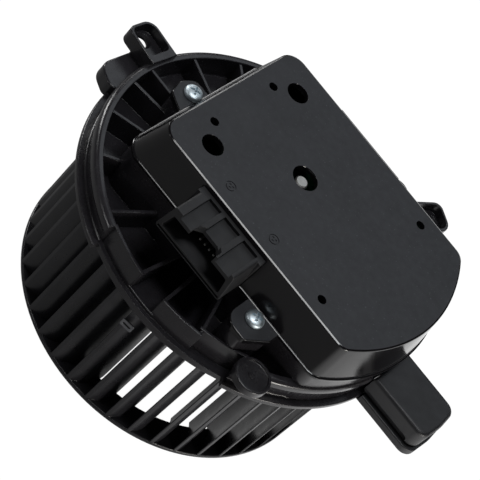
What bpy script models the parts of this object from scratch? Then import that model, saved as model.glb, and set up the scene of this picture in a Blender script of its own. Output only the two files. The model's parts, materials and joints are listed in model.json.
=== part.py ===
"""Brushless car heater blower: motor, fan wheel, mounting flange and electronics cover.

All shape dimensions are millimetres in the blower's own frame: the fan axis is Z, height
zero is the upper face of the flange's lip, +X points to the cooling duct and -Y to the
connector. The root empty carries that frame, so the wheel's inlet rim stands on z = 0.
"""

import math

import bmesh
import bpy
from mathutils import Matrix, Vector
from mathutils.geometry import intersect_line_line_2d

MM = 0.001
GAP = 0.3                       # clearance between touching pieces

# Frame of the whole blower
AXIS_X = -8.43                  # fan axis, from the middle of the overall box
AXIS_Y = -4.60
LIP_HEIGHT = 69.0               # lip plane above the surface the wheel stands on

# Fan wheel
WHEEL_R = 75.0
BLADE_INNER_R = 59.0
BLADES = 41
BLADE_PHASE = -107.9            # degrees, tip of one blade
BLADE_BOW = 12.9                # radius of the blade's curve
BLADE_TURN = 71.0               # degrees turned along the blade
BLADE_WALL = 1.55
CAGE_INNER_R = 56.5             # where the back ring of the cage meets the hub
INLET_LOW = -69.0
INLET_HIGH = -66.6
INLET_INNER_R = 61.6
BACK_LOW = -10.0
BACK_HIGH = -7.6
HUB_LOW = -50.0                 # lower end of the hub's boss
BLADE_BITE = 1.0                # how far the blades reach into both rings

# Shaft line
SHAFT_R = 3.0
SHAFT_LOW = -54.0
SHAFT_HIGH = 37.4
BUSH_R = 7.0
BUSH_LOW = -45.0
BELL_R = 38.2
BELL_LOW = -36.0
BELL_HIGH = -5.0
BELL_WALL = 1.6
BELL_CORNER = 2.0
MAGNET_WALL = 2.5
MAGNET_OVERHANG = 2.5           # past each end of the core
BEARING_R = 8.0
BEARING_WIDTH = 6.0
TUBE_R = 9.7
TUBE_LOW = -30.0

# Stator
TEETH = 9
CORE_TOOTH = dict(inner=14.6, neck_end=29.2, tip_start=30.4, tip=32.0, tip_half=8.4, neck=3.0)
SHEET_TOOTH = dict(inner=14.2, neck_end=29.0, tip_start=30.2, tip=31.4, tip_half=8.0, neck=2.8)
CORE_LOW = -26.0
CORE_HIGH = -10.0
SHEET_WALL = 1.0                # insulator on each end of the core
COIL_INNER_R = 17.2
COIL_OUTER_R = 28.4
COIL_HALF = 5.3
COIL_HOLE_HALF = 3.4
COIL_WALL = 1.8

# Flange
LIP_R = 84.0
LIP_THICK = 2.5
RIM_R = 81.2
RIM_WALL = 3.2
RIM_HIGH = 11.4
FLOOR_HIGH = -0.5
FLOOR_HOLE_R = 41.0
RIB_HIGH = 10.6
RIB_WALL = 1.6
RIB_ANGLES = (-171.4, -155.4, -137.4, -117.4, 179.0, 160.0, 142.0, 124.0, 106.0, 88.0)
TRAY_WALL = 2.0
WELD = 0.5                      # how far joined shapes reach into each other
FRONT_START = -112.0            # stretch before the connector: narrower lip, thin walls
FRONT_END = -57.0
FRONT_LIP_R = 80.9
FRONT_WALL = 1.5
FRONT_WALLS = ((78.9, -112.6, -96.0), (78.5, -86.0, -71.0), (75.5, -72.7, -55.0))
FRONT_RIB_ANGLES = (-96.3, -85.7, -71.4)
FRONT_SILL_HIGH = 1.6           # low edge between the first two walls

# Electronics cover, a D-shaped cap
COVER_BASE = 20.0
COVER_HIGH = 39.8
COVER_WALL = 2.0
BASE_D = dict(back=-54.0, half_width=50.2, radius=82.1, corner=9.5, tip_corner=7.0)
TOP_D = dict(back=-49.2, half_width=46.7, radius=79.5, corner=8.2, tip_corner=6.0)
EAR_SPOTS = ((-58.0, -0.6), (33.0, -56.0), (33.0, 56.0))
BACK_EAR = ((-52.6, -14.0, 0.0), (-63.6, -9.0, 4.0), (-65.8, -0.6, 6.0), (-62.5, 7.0, 5.0),
            (-52.6, 7.0, 0.0))
SIDE_EAR = ((24.6, -48.8, 0.0), (24.6, -67.2, 7.0), (37.0, -67.2, 3.0), (43.8, -56.5, 3.0),
            (43.8, -48.8, 0.0))
EAR_LOW = 18.2
EAR_HIGH = 21.2
EAR_POST_INSET = 1.0
CENTRE_HOLE_R = 5.9
WINDOW_SPOTS = ((-31.7, -30.6), (-31.7, 30.6))
WINDOW_R = 5.0
PINHOLE_SPOTS = ((-39.5, -21.0), (-39.5, 21.0), (43.6, 38.0), (43.6, -38.0))
PINHOLE_R = 2.0

# Plate and board inside the cover
PLATE_LOW = FLOOR_HIGH + GAP
PLATE_HIGH = PLATE_LOW + 4.0
AIR_HOLES = 6
AIR_HOLE_R = 4.6
AIR_HOLE_AT = 24.0
CARRIER_ANGLES = (0.0, 140.0, 220.0)
CARRIER_SCREWS_AT = 45.0
BOARD_LOW = 21.5
BOARD_HIGH = 23.1
BOARD_SPOTS = ((-41.0, -37.0), (-41.0, 37.0), (58.0, -34.0), (58.0, 34.0))
BOARD_POST_R = 3.6
PARTS_LOW = BOARD_HIGH + GAP    # underside of everything soldered to the board
CAN_R = 5.6
CAN_START = 22.0
CAN_END = 44.0
CAN_ROWS = (18.0, 31.0)
CHOKE_SPOT = (-28.0, 20.0)
TRANSISTOR_SPOTS = ((-34.0, -26.0), (-20.0, -26.0), (22.0, -24.0), (36.0, -24.0),
                    (50.0, -20.0), (62.0, 0.0))
TRANSISTOR_HALF_X = 5.0
TRANSISTOR_HALF_Y = 4.4
TRANSISTOR_TALL = 4.4

# Screws: head radius and height, shank radius
COVER_SCREW = dict(head_r=4.3, head_high=2.7, shank_r=1.7)
CARRIER_SCREW = dict(head_r=3.6, head_high=2.2, shank_r=1.3)
BOARD_SCREW = dict(head_r=3.0, head_high=1.8, shank_r=1.25)

# Connector socket, its mouth towards -Y
SOCKET_X = -0.85
SOCKET_HALF_LOW = 19.65
SOCKET_HALF_HIGH = 17.75
SOCKET_LOW = 23.0
SOCKET_HIGH = 38.0
SOCKET_FRONT = -67.0
SOCKET_BACK = -46.9
SOCKET_WALL = 2.2
ROOF_DROP = 2.2                 # panels between the roof's raised bars
ROOF_PANELS = ((-14.4, -8.4), (-4.6, 3.4), (7.0, 15.0))
LATCH_NOTCH = (-8.0, 5.8)
LATCH_NOTCH_DEEP = 6.2
COLLAR_HALF = 19.4
PIN_HEIGHT = 29.6
PIN_HALF = 0.4
SIGNAL_SPOTS = (-4.3, -1.6, 1.1, 3.8)
SIGNAL_TIP = -59.5
SIGNAL_TAIL = -41.0
POWER_SPOTS = (-12.6, 11.0)
POWER_HALF = 3.0
POWER_TIP = -62.0
POWER_TAIL = -43.0

# Cooling duct, along +X
DUCT_START = RIM_R + GAP
DUCT_END = 115.4
DUCT_HALF = 13.0
DUCT_HIGH = 12.0
DUCT_SPLIT = 1.2
DUCT_LOW = -3.0
DUCT_WALL = 1.8
DUCT_NOSE = 1.0                 # how far the duct's blunt end bulges

# Mounting ears of the flange, drawn along +X and turned to their angles
MOUNT_ANGLES = (174.0, 62.0)
MOUNT_ROOT = 80.0
MOUNT_REACH = 98.6
MOUNT_HALF = 7.6
MOUNT_HIGH = 14.0
MOUNT_WALL = 1.4
MOUNT_SEAT_HIGH = 9.0
MOUNT_SEAT_LOW = 6.6
MOUNT_FOOT = 87.0               # how far out the ears stand on the lip
MOUNT_HOLE_AT = 92.6
MOUNT_HOLE_R = 3.1
LOBE_HIGH = 5.0
LUG_SPOT = (49.8, -65.3)
LUG_R = 8.4
LUG_LOW = 7.6


# --- scene helpers --------------------------------------------------------------------

def clear_scene():
    for old in list(bpy.data.objects):
        bpy.data.objects.remove(old, do_unlink=True)


def new_collection(name):
    group = bpy.data.collections.new(name)
    bpy.context.scene.collection.children.link(group)
    return group


def new_empty(name, parent=None, location=(0.0, 0.0, 0.0)):
    empty = bpy.data.objects.new(name, None)
    empty.location = location
    empty.parent = parent
    PARTS.objects.link(empty)
    return empty


def finish(name, colour, roughness, metallic=0.0):
    """A plain surface finish."""
    material = bpy.data.materials.new(name)
    material.use_nodes = True
    shader = material.node_tree.nodes["Principled BSDF"]
    shader.inputs["Base Color"].default_value = (*colour, 1.0)
    shader.inputs["Roughness"].default_value = roughness
    shader.inputs["Metallic"].default_value = metallic
    return material


def piece(name, obj, material, parent):
    """Register a finished piece of the blower."""
    obj.name = name
    obj.parent = parent
    obj.data.materials.append(material)
    PARTS.objects.link(obj)
    return obj


def tool(obj, parent=None):
    """Register a shape that only cuts or joins."""
    obj.parent = parent or ROOT
    obj.hide_render = True
    obj.display_type = "WIRE"
    CUTTERS.objects.link(obj)
    return obj


def combine(obj, other, operation):
    step = obj.modifiers.new(operation.lower(), "BOOLEAN")
    step.operation = operation
    step.solver = "EXACT"
    step.object = other


def cut(obj, *others):
    for other in others:
        combine(obj, tool(other, obj.parent), "DIFFERENCE")


def join(obj, *others):
    for other in others:
        combine(obj, tool(other, obj.parent), "UNION")


# --- outlines and basic solids, all in millimetres ------------------------------------

def polar(radius, degrees):
    angle = math.radians(degrees)
    return radius * math.cos(angle), radius * math.sin(angle)


def circle(radius, steps, centre=(0.0, 0.0)):
    spots = [polar(radius, 360.0 * step / steps) for step in range(steps)]
    return [(centre[0] + x, centre[1] + y) for x, y in spots]


def rounded(corners, steps=3):
    """Outline through (x, y, radius) corners, each rounded by its own radius."""
    outline = []
    for index, (x, y, radius) in enumerate(corners):
        here = Vector((x, y))
        if radius <= 0.0:
            outline.append((x, y))
            continue
        before = Vector(corners[index - 1][:2]) - here
        after = Vector(corners[(index + 1) % len(corners)][:2]) - here
        before.normalize()
        after.normalize()
        half = before.angle(after) / 2.0
        middle = here + (before + after).normalized() * (radius / math.sin(half))
        start = here + before * (radius / math.tan(half)) - middle
        end = here + after * (radius / math.tan(half)) - middle
        swing = start.angle_signed(end)
        for step in range(steps + 1):
            turn = Matrix.Rotation(-swing * step / steps, 2)
            outline.append(tuple(middle + turn @ start))
    return outline


def rectangle(x_low, x_high, y_low, y_high, radius=0.0, steps=3):
    corners = [(x_low, y_low, radius), (x_high, y_low, radius),
               (x_high, y_high, radius), (x_low, y_high, radius)]
    return rounded(corners, steps)


def d_outline(back, half_width, radius, corner, tip_corner, inset=0.0, arc_steps=12):
    """Flat back and sides closed by an arc about the fan axis."""
    back += inset
    half_width -= inset
    radius -= inset
    corner = max(corner - inset, 1.0)
    tip_corner = max(tip_corner - inset, 1.0)
    tip = math.degrees(math.asin(half_width / radius))
    corners = [(back, -half_width, corner)]
    for step in range(arc_steps + 1):
        x, y = polar(radius, -tip + 2.0 * tip * step / arc_steps)
        corners.append((x, y, tip_corner if step in (0, arc_steps) else 0.0))
    corners.append((back, half_width, corner))
    return rounded(corners)


def mesh_object(name, mesh):
    mesh.shade_smooth()
    mesh.set_sharp_from_angle(angle=math.radians(32.0))
    return bpy.data.objects.new(name, mesh)


def turned(profile, steps=48, ends_on_axis=False):
    """Solid of revolution: the (radius, height) profile runs down its outer side."""
    mesh = bpy.data.meshes.new("profile")
    points = [(radius * MM, 0.0, height * MM) for radius, height in profile]
    edges = [(index, index + 1) for index in range(len(points) - 1)]
    if not ends_on_axis:
        edges.append((len(points) - 1, 0))
    mesh.from_pydata(points, edges, [])
    obj = bpy.data.objects.new("turned", mesh)
    screw = obj.modifiers.new("turn", "SCREW")
    screw.steps = steps
    screw.render_steps = steps
    screw.use_merge_vertices = True
    screw.merge_threshold = 0.00001
    screw.use_smooth_shade = False
    return obj


def ring(inner, outer, low, high, steps=48):
    return turned([(outer, high), (outer, low), (inner, low), (inner, high)], steps)


def slab(outlines, low, high):
    """Flat plate from one outer outline and any hole outlines."""
    curve = bpy.data.curves.new("outline", "CURVE")
    curve.dimensions = "2D"
    curve.fill_mode = "BOTH"
    curve.extrude = (high - low) / 2.0 * MM
    for outline in outlines:
        spline = curve.splines.new("POLY")
        spline.points.add(len(outline) - 1)
        for point, (x, y) in zip(spline.points, outline):
            point.co = (x * MM, y * MM, 0.0, 1.0)
        spline.use_cyclic_u = True
    guide = bpy.data.objects.new("guide", curve)
    CUTTERS.objects.link(guide)
    depsgraph = bpy.context.evaluated_depsgraph_get()
    mesh = bpy.data.meshes.new_from_object(guide.evaluated_get(depsgraph))
    bpy.data.objects.remove(guide, do_unlink=True)
    bm = bmesh.new()
    bm.from_mesh(mesh)
    bmesh.ops.remove_doubles(bm, verts=bm.verts, dist=0.000001)
    bmesh.ops.translate(bm, verts=bm.verts, vec=(0.0, 0.0, (low + high) / 2.0 * MM))
    bmesh.ops.recalc_face_normals(bm, faces=bm.faces)
    bm.to_mesh(mesh)
    bm.free()
    return mesh_object("slab", mesh)


def loft(sections):
    """Solid through (outline, height) sections that have equal point counts."""
    bm = bmesh.new()
    loops = []
    for outline, height in sections:
        loops.append([bm.verts.new((x * MM, y * MM, height * MM)) for x, y in outline])
    count = len(loops[0])
    for lower, upper in zip(loops, loops[1:]):
        for index in range(count):
            after = (index + 1) % count
            bm.faces.new((lower[index], lower[after], upper[after], upper[index]))
    bm.faces.new(list(reversed(loops[0])))
    bm.faces.new(loops[-1])
    bmesh.ops.recalc_face_normals(bm, faces=bm.faces)
    mesh = bpy.data.meshes.new("loft")
    bm.to_mesh(mesh)
    bm.free()
    return mesh_object("loft", mesh)


def block(x_low, x_high, y_low, y_high, low, high):
    bm = bmesh.new()
    bmesh.ops.create_cube(bm, size=1.0)
    size = Vector((x_high - x_low, y_high - y_low, high - low)) * MM
    middle = Vector((x_low + x_high, y_low + y_high, low + high)) * (MM / 2.0)
    bmesh.ops.transform(bm, verts=bm.verts, matrix=Matrix.LocRotScale(middle, None, size))
    mesh = bpy.data.meshes.new("block")
    bm.to_mesh(mesh)
    bm.free()
    return bpy.data.objects.new("block", mesh)


def drum(radius, low, high, centre=(0.0, 0.0), steps=24):
    """Upright cylinder."""
    bm = bmesh.new()
    bmesh.ops.create_cone(bm, cap_ends=True, segments=steps, radius1=radius * MM,
                          radius2=radius * MM, depth=(high - low) * MM)
    place = Vector((centre[0], centre[1], (low + high) / 2.0)) * MM
    bmesh.ops.translate(bm, verts=bm.verts, vec=place)
    mesh = bpy.data.meshes.new("drum")
    bm.to_mesh(mesh)
    bm.free()
    return mesh_object("drum", mesh)


def spun(obj, degrees):
    """Turn a shape about the fan axis."""
    obj.rotation_euler = (0.0, 0.0, math.radians(degrees))
    return obj


def facing_x(obj):
    """Stand a slab drawn in (Y, Z) so that its thickness runs along X."""
    obj.rotation_euler = (math.radians(90.0), 0.0, math.radians(90.0))
    return obj


def facing_y(obj):
    """Stand a slab drawn in (X, Z) so that its thickness runs along -Y."""
    obj.rotation_euler = (math.radians(90.0), 0.0, 0.0)
    return obj


# --- rotating pieces ------------------------------------------------------------------

def blade_outline(tip_angle):
    """Cross-section of one forward-curved blade, radial inside and tangential outside."""
    bow = math.radians(BLADE_TURN)
    reach = BLADE_BOW * math.sin(bow)
    stretch = (WHEEL_R - BLADE_INNER_R) / reach
    thinning = 0.45             # share of the wall lost at both edges
    sides = ([], [])
    steps = 4
    for step in range(steps + 1):
        turn = bow * step / steps
        radial = BLADE_BOW * math.sin(turn) * stretch
        back = BLADE_BOW * (math.cos(turn) - math.cos(bow))
        taper = 1.0 - thinning * abs(2.0 * step / steps - 1.0)
        half = BLADE_WALL / 2.0 * taper
        for side, sign in zip(sides, (1.0, -1.0)):
            radius = BLADE_INNER_R + radial + sign * half * math.sin(turn)
            across = back + sign * half * math.cos(turn)
            angle = tip_angle + math.degrees(across / radius)
            side.append(polar(min(radius, WHEEL_R), angle))
    return sides[0] + list(reversed(sides[1]))


def blade_set():
    """All blades as one tool, reaching into both rings."""
    pitch = 360.0 / BLADES
    outlines = [blade_outline(BLADE_PHASE + pitch * number) for number in range(BLADES)]
    return slab(outlines, INLET_HIGH - BLADE_BITE, BACK_LOW + BLADE_BITE)


def make_wheel():
    """Blade cage with an inlet ring and a back ring, and the dish-shaped hub inside it."""
    steps = 60
    bore = BUSH_R + GAP
    dish_under = [(55.0, BACK_LOW), (48.0, -16.0), (43.6, -34.0), (38.4, -41.2), (12.0, -43.4)]
    dish_over = [(bore, -40.8), (37.0, -39.0), (41.2, -33.0), (45.6, -14.4), (53.4, BACK_HIGH)]
    boss = [(10.6, HUB_LOW), (bore, HUB_LOW)]
    hub_r = CAGE_INNER_R - GAP
    piece("fan_hub", turned([(hub_r, BACK_HIGH), (hub_r, BACK_LOW), *dish_under, *boss, *dish_over],
                            steps), BLACK_SATIN, SPIN)
    back = turned([(WHEEL_R, BACK_HIGH), (WHEEL_R, BACK_LOW), (CAGE_INNER_R, BACK_LOW),
                   (CAGE_INNER_R, BACK_HIGH)], steps)
    lead_in = 0.8
    inlet = turned([(WHEEL_R, INLET_HIGH), (WHEEL_R, INLET_LOW),
                    (INLET_INNER_R + lead_in, INLET_LOW), (INLET_INNER_R, INLET_LOW + lead_in),
                    (INLET_INNER_R, INLET_HIGH)], steps)
    join(piece("fan_wheel", back, BLACK_SATIN, SPIN), blade_set(), inlet)


def make_shaft_line():
    chamfer = 0.5
    shaft = turned([(0.0, SHAFT_HIGH), (SHAFT_R - chamfer, SHAFT_HIGH),
                    (SHAFT_R, SHAFT_HIGH - chamfer), (SHAFT_R, SHAFT_LOW + chamfer),
                    (SHAFT_R - chamfer, SHAFT_LOW), (0.0, SHAFT_LOW)], 20, ends_on_axis=True)
    piece("rotor_shaft", shaft, STEEL, SPIN)
    bore = SHAFT_R + GAP
    steps = 20
    piece("hub_bush", ring(bore, BUSH_R, BUSH_LOW, BELL_LOW - GAP, steps), BRASS, SPIN)
    lock_r, lock_thick = 8.6, 1.2
    lock_high = HUB_LOW - GAP
    piece("shaft_lock_ring", ring(bore, lock_r, lock_high - lock_thick, lock_high, steps),
          STEEL, SPIN)
    clip_r, clip_thick = 5.0, 0.9
    clip_low = PLATE_HIGH + GAP
    piece("shaft_circlip", ring(bore, clip_r, clip_low, clip_low + clip_thick, steps),
          STEEL, SPIN)


def make_rotor():
    """Steel bell that carries the magnets round the stator."""
    steps = 36
    bore = SHAFT_R + GAP
    floor = BELL_LOW + BELL_WALL
    inner = BELL_R - BELL_WALL
    fillet = BELL_CORNER / 2.0
    bell = turned([(BELL_R, BELL_HIGH), (BELL_R, BELL_LOW + BELL_CORNER),
                   (BELL_R - BELL_CORNER, BELL_LOW), (bore, BELL_LOW), (bore, floor),
                   (inner - fillet, floor), (inner, floor + fillet), (inner, BELL_HIGH)], steps)
    piece("rotor_bell", bell, ZINC, SPIN)
    outer = inner - GAP
    magnets = ring(outer - MAGNET_WALL, outer, CORE_LOW - MAGNET_OVERHANG,
                   CORE_HIGH + MAGNET_OVERHANG, steps)
    piece("magnet_ring", magnets, FERRITE, SPIN)


def make_balance_clip():
    """Small slotted clip on the outside of one blade, just below the back ring."""
    half_wide, half_tall, half_thick = 2.9, 2.0, 0.4
    slot_half_wide, slot_half_tall = 1.9, 0.5
    angle, height, tilt = -88.4, -16.4, 7.4
    frame = rectangle(-half_wide, half_wide, -half_tall, half_tall, 0.5, 2)
    slot = rectangle(-slot_half_wide, slot_half_wide, -slot_half_tall, slot_half_tall)
    plate = slab([frame, slot], -half_thick, half_thick)
    plate.rotation_euler = (math.radians(90.0), 0.0, math.radians(angle + 90.0 + tilt))
    plate.location = Vector((*polar(WHEEL_R + 1.0, angle), height)) * MM
    piece("balance_clip", plate, ZINC, SPIN)


# --- stator ---------------------------------------------------------------------------

def make_carrier():
    """Cast plate with the bearing tube, air holes and the board's posts."""
    inset = GAP + TRAY_WALL + 0.4
    inside = dict(BASE_D, radius=RIM_R - RIM_WALL - 0.4 + inset)
    plate = slab([d_outline(**inside, inset=inset)], PLATE_LOW, PLATE_HIGH)
    piece("stator_carrier", plate, ALUMINIUM, ROOT)
    below, above = PLATE_LOW - 1.0, PLATE_HIGH + 1.0
    thread_r, thread_low = 1.6, 10.0
    join(plate, drum(TUBE_R, TUBE_LOW, PLATE_LOW + 1.0, steps=24))
    for spot in BOARD_SPOTS:
        join(plate, drum(BOARD_POST_R, PLATE_HIGH - 1.0, BOARD_LOW - GAP, spot, 12))
    cut(plate, drum(BEARING_R + GAP, TUBE_LOW - 1.0, above, steps=24))
    pitch = 360.0 / AIR_HOLES
    for number in range(AIR_HOLES):
        cut(plate, drum(AIR_HOLE_R, below, above, polar(AIR_HOLE_AT, pitch * (number + 0.5)), 12))
    for spot in BOARD_SPOTS:
        cut(plate, drum(thread_r, thread_low, BOARD_LOW, spot, 8))
    clearance_r = CARRIER_SCREW["shank_r"] + 3.0 * GAP
    for angle in CARRIER_ANGLES:
        cut(plate, drum(clearance_r, below, above, polar(CARRIER_SCREWS_AT, angle), 12))


def make_bearings():
    """Ball bearings in the tube's two ends, their shields set back from the races."""
    bore = SHAFT_R + GAP
    groove = 0.5
    inner_race, outer_race = 4.4, 6.4
    recess = 0.6                # from the tube's or the plate's end
    for name, low in (("bearing_lower", TUBE_LOW + recess),
                      ("bearing_upper", PLATE_HIGH - recess - BEARING_WIDTH)):
        high = low + BEARING_WIDTH
        bearing = turned([(BEARING_R, high), (BEARING_R, low), (bore, low), (bore, high),
                          (inner_race, high), (inner_race + 0.2, high - groove),
                          (outer_race - 0.2, high - groove), (outer_race, high)], 20)
        piece(name, bearing, STEEL, ROOT)


def tooth(angle, inner, neck_end, tip_start, tip, tip_half, neck):
    """Outline points of one T-shaped tooth, counter-clockwise."""
    shoulder = tip_half * 0.92
    spots = [(inner, -neck), (neck_end, -neck), (tip_start, -shoulder), (tip, -tip_half),
             (tip, tip_half), (tip_start, shoulder), (neck_end, neck), (inner, neck)]
    cosine, sine = polar(1.0, angle)
    return [(x * cosine - y * sine, x * sine + y * cosine) for x, y in spots]


def star(shape):
    outline = []
    for number in range(TEETH):
        outline += tooth(360.0 * number / TEETH, **shape)
    return outline


def make_stator():
    bore = circle(TUBE_R + 2.0 * GAP, 18)
    core = slab([star(CORE_TOOTH), bore], CORE_LOW, CORE_HIGH)
    piece("stator_core", core, LAMINATION, ROOT)
    for name, low in (("insulator_upper", CORE_HIGH + GAP),
                      ("insulator_lower", CORE_LOW - GAP - SHEET_WALL)):
        sheet = slab([star(SHEET_TOOTH), bore], low, low + SHEET_WALL)
        piece(name, sheet, NYLON, ROOT)
    low, high = CORE_LOW - SHEET_WALL - 2.0 * GAP, CORE_HIGH + SHEET_WALL + 2.0 * GAP
    hole = rectangle(-COIL_HOLE_HALF, COIL_HOLE_HALF, low, high)
    outside = rectangle(-COIL_HALF, COIL_HALF, low - COIL_WALL, high + COIL_WALL, 1.6, 2)
    for number in range(TEETH):
        coil = slab([outside, hole], COIL_INNER_R, COIL_OUTER_R)
        turn = 90.0 + 360.0 * number / TEETH
        coil.rotation_euler = (math.radians(90.0), 0.0, math.radians(turn))
        piece(f"winding_{number + 1}", coil, COPPER, ROOT)


# --- electronics ----------------------------------------------------------------------

def pan_screw(spot, head_low, tip, head_r, head_high, shank_r):
    """Pan-head screw, head up."""
    top = head_low + head_high
    crown = [(0.0, top), (head_r * 0.6, top - head_high * 0.12),
             (head_r * 0.95, top - head_high * 0.5), (head_r, head_low)]
    shank = [(shank_r, head_low), (shank_r, tip + shank_r), (0.0, tip)]
    screw = turned(crown + shank, 14, ends_on_axis=True)
    screw.location = (spot[0] * MM, spot[1] * MM, 0.0)
    return screw


def make_board():
    inset = COVER_WALL + 4.0 * GAP
    shaft_hole_r, screw_hole_r, screw_tip = 6.0, 1.8, 11.0
    outlines = [d_outline(**TOP_D, inset=inset, arc_steps=10), circle(shaft_hole_r, 16)]
    outlines += [circle(screw_hole_r, 8, spot) for spot in BOARD_SPOTS]
    piece("circuit_board", slab(outlines, BOARD_LOW, BOARD_HIGH), BOARD_GREEN, ROOT)
    for number, spot in enumerate(BOARD_SPOTS, 1):
        screw = pan_screw(spot, PARTS_LOW, screw_tip, **BOARD_SCREW)
        piece(f"board_screw_{number}", screw, ZINC, ROOT)


def make_components():
    """Capacitors lying along X, a choke, the power transistors and the control chip."""
    for number, y in enumerate(CAN_ROWS, 1):
        can = drum(CAN_R, CAN_START, CAN_END, (-(PARTS_LOW + CAN_R), y), 16)
        can.rotation_euler = (0.0, math.radians(90.0), 0.0)
        piece(f"capacitor_{number}", can, CAN_GREY, ROOT)
    choke_inner, choke_outer, choke_tall = 5.5, 12.5, 7.0
    choke = ring(choke_inner, choke_outer, PARTS_LOW, PARTS_LOW + choke_tall, 18)
    choke.location = (CHOKE_SPOT[0] * MM, CHOKE_SPOT[1] * MM, 0.0)
    piece("choke_core", choke, FERRITE, ROOT)
    for number, (x, y) in enumerate(TRANSISTOR_SPOTS, 1):
        body = block(x - TRANSISTOR_HALF_X, x + TRANSISTOR_HALF_X, y - TRANSISTOR_HALF_Y,
                     y + TRANSISTOR_HALF_Y, PARTS_LOW, PARTS_LOW + TRANSISTOR_TALL)
        piece(f"power_transistor_{number}", body, CHIP_BLACK, ROOT)
    chip_x, chip_y, chip_half, chip_tall = -24.0, -2.0, 6.0, 1.6
    chip = block(chip_x - chip_half, chip_x + chip_half, chip_y - chip_half,
                 chip_y + chip_half, PARTS_LOW, PARTS_LOW + chip_tall)
    piece("control_chip", chip, CHIP_BLACK, ROOT)


def socket_section(half_low, half_high, low, high, radius):
    left, right = SOCKET_X - half_low, SOCKET_X + half_low
    corners = [(left, low, radius), (right, low, radius),
               (SOCKET_X + half_high, high, radius), (SOCKET_X - half_high, high, radius)]
    return rounded(corners, 3)


def along_y(outlines, front, back):
    """Upright (X, Z) outline, extruded from front to back along Y."""
    return facing_y(slab(outlines, -back, -front))


def make_connector():
    """Socket with a barred roof, on a collar that sits inside the cover's wall."""
    roof = SOCKET_HIGH - ROOF_DROP
    above = SOCKET_HIGH + 2.0
    front = SOCKET_FRONT - 1.0
    wall_line = SOCKET_BACK - 3.5
    shell = along_y([socket_section(SOCKET_HALF_LOW, SOCKET_HALF_HIGH, SOCKET_LOW,
                                    SOCKET_HIGH, 1.4)], SOCKET_FRONT, wall_line)
    piece("connector_housing", shell, BLACK_MATTE, ROOT)
    collar = rectangle(SOCKET_X - COLLAR_HALF, SOCKET_X + COLLAR_HALF, COVER_BASE + 0.4,
                       SOCKET_HIGH - 0.6)
    join(shell, along_y([collar], wall_line - 0.2, SOCKET_BACK + 0.6))
    mouth = socket_section(SOCKET_HALF_LOW - SOCKET_WALL, SOCKET_HALF_HIGH - SOCKET_WALL + 0.3,
                           SOCKET_LOW + SOCKET_WALL + 0.4, roof - 1.8, 1.0)
    cut(shell, along_y([mouth], front, wall_line - 0.5))
    for x_low, x_high in ROOF_PANELS:
        cut(shell, block(x_low, x_high, front, SOCKET_BACK - 1.6, roof, above))
    cut(shell, block(*LATCH_NOTCH, front, SOCKET_FRONT + LATCH_NOTCH_DEEP, roof - 3.0, above))
    slot_half = PIN_HALF + 0.4
    for spots, half in ((SIGNAL_SPOTS, slot_half), (POWER_SPOTS, POWER_HALF + 0.5)):
        for x in spots:
            cut(shell, block(x - half, x + half, wall_line - 10.0, wall_line + 10.0,
                             PIN_HEIGHT - slot_half, PIN_HEIGHT + slot_half))


def terminal(x, half_wide, tip, tail):
    """Bent strip: straight into the socket, its tail down to the board."""
    tail_thick = 0.8
    path = [(tip, PIN_HEIGHT - PIN_HALF), (tail, PIN_HEIGHT - PIN_HALF), (tail, PARTS_LOW),
            (tail + tail_thick, PARTS_LOW), (tail + tail_thick, PIN_HEIGHT + PIN_HALF),
            (tip, PIN_HEIGHT + PIN_HALF)]
    return facing_x(slab([path], x - half_wide, x + half_wide))


def make_terminals():
    for number, x in enumerate(SIGNAL_SPOTS, 1):
        piece(f"signal_pin_{number}", terminal(x, PIN_HALF, SIGNAL_TIP, SIGNAL_TAIL), TIN, ROOT)
    for number, x in enumerate(POWER_SPOTS, 1):
        piece(f"power_terminal_{number}", terminal(x, POWER_HALF, POWER_TIP, POWER_TAIL), TIN,
              ROOT)


# --- housing --------------------------------------------------------------------------

def ear_outlines(inset=0.0):
    """Outlines of the three screw ears, drawn over the cover's wall."""
    back = [(x + inset * (x < -53.0), y - math.copysign(inset, y) * (abs(y) > 1.0), radius)
            for x, y, radius in BACK_EAR]
    side = [(x - math.copysign(inset, x - 34.0), y + inset * (y < -50.0), radius)
            for x, y, radius in SIDE_EAR]
    mirrored = [(x, -y, radius) for x, y, radius in reversed(side)]
    return [rounded(corners) for corners in (back, side, mirrored)]


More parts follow.
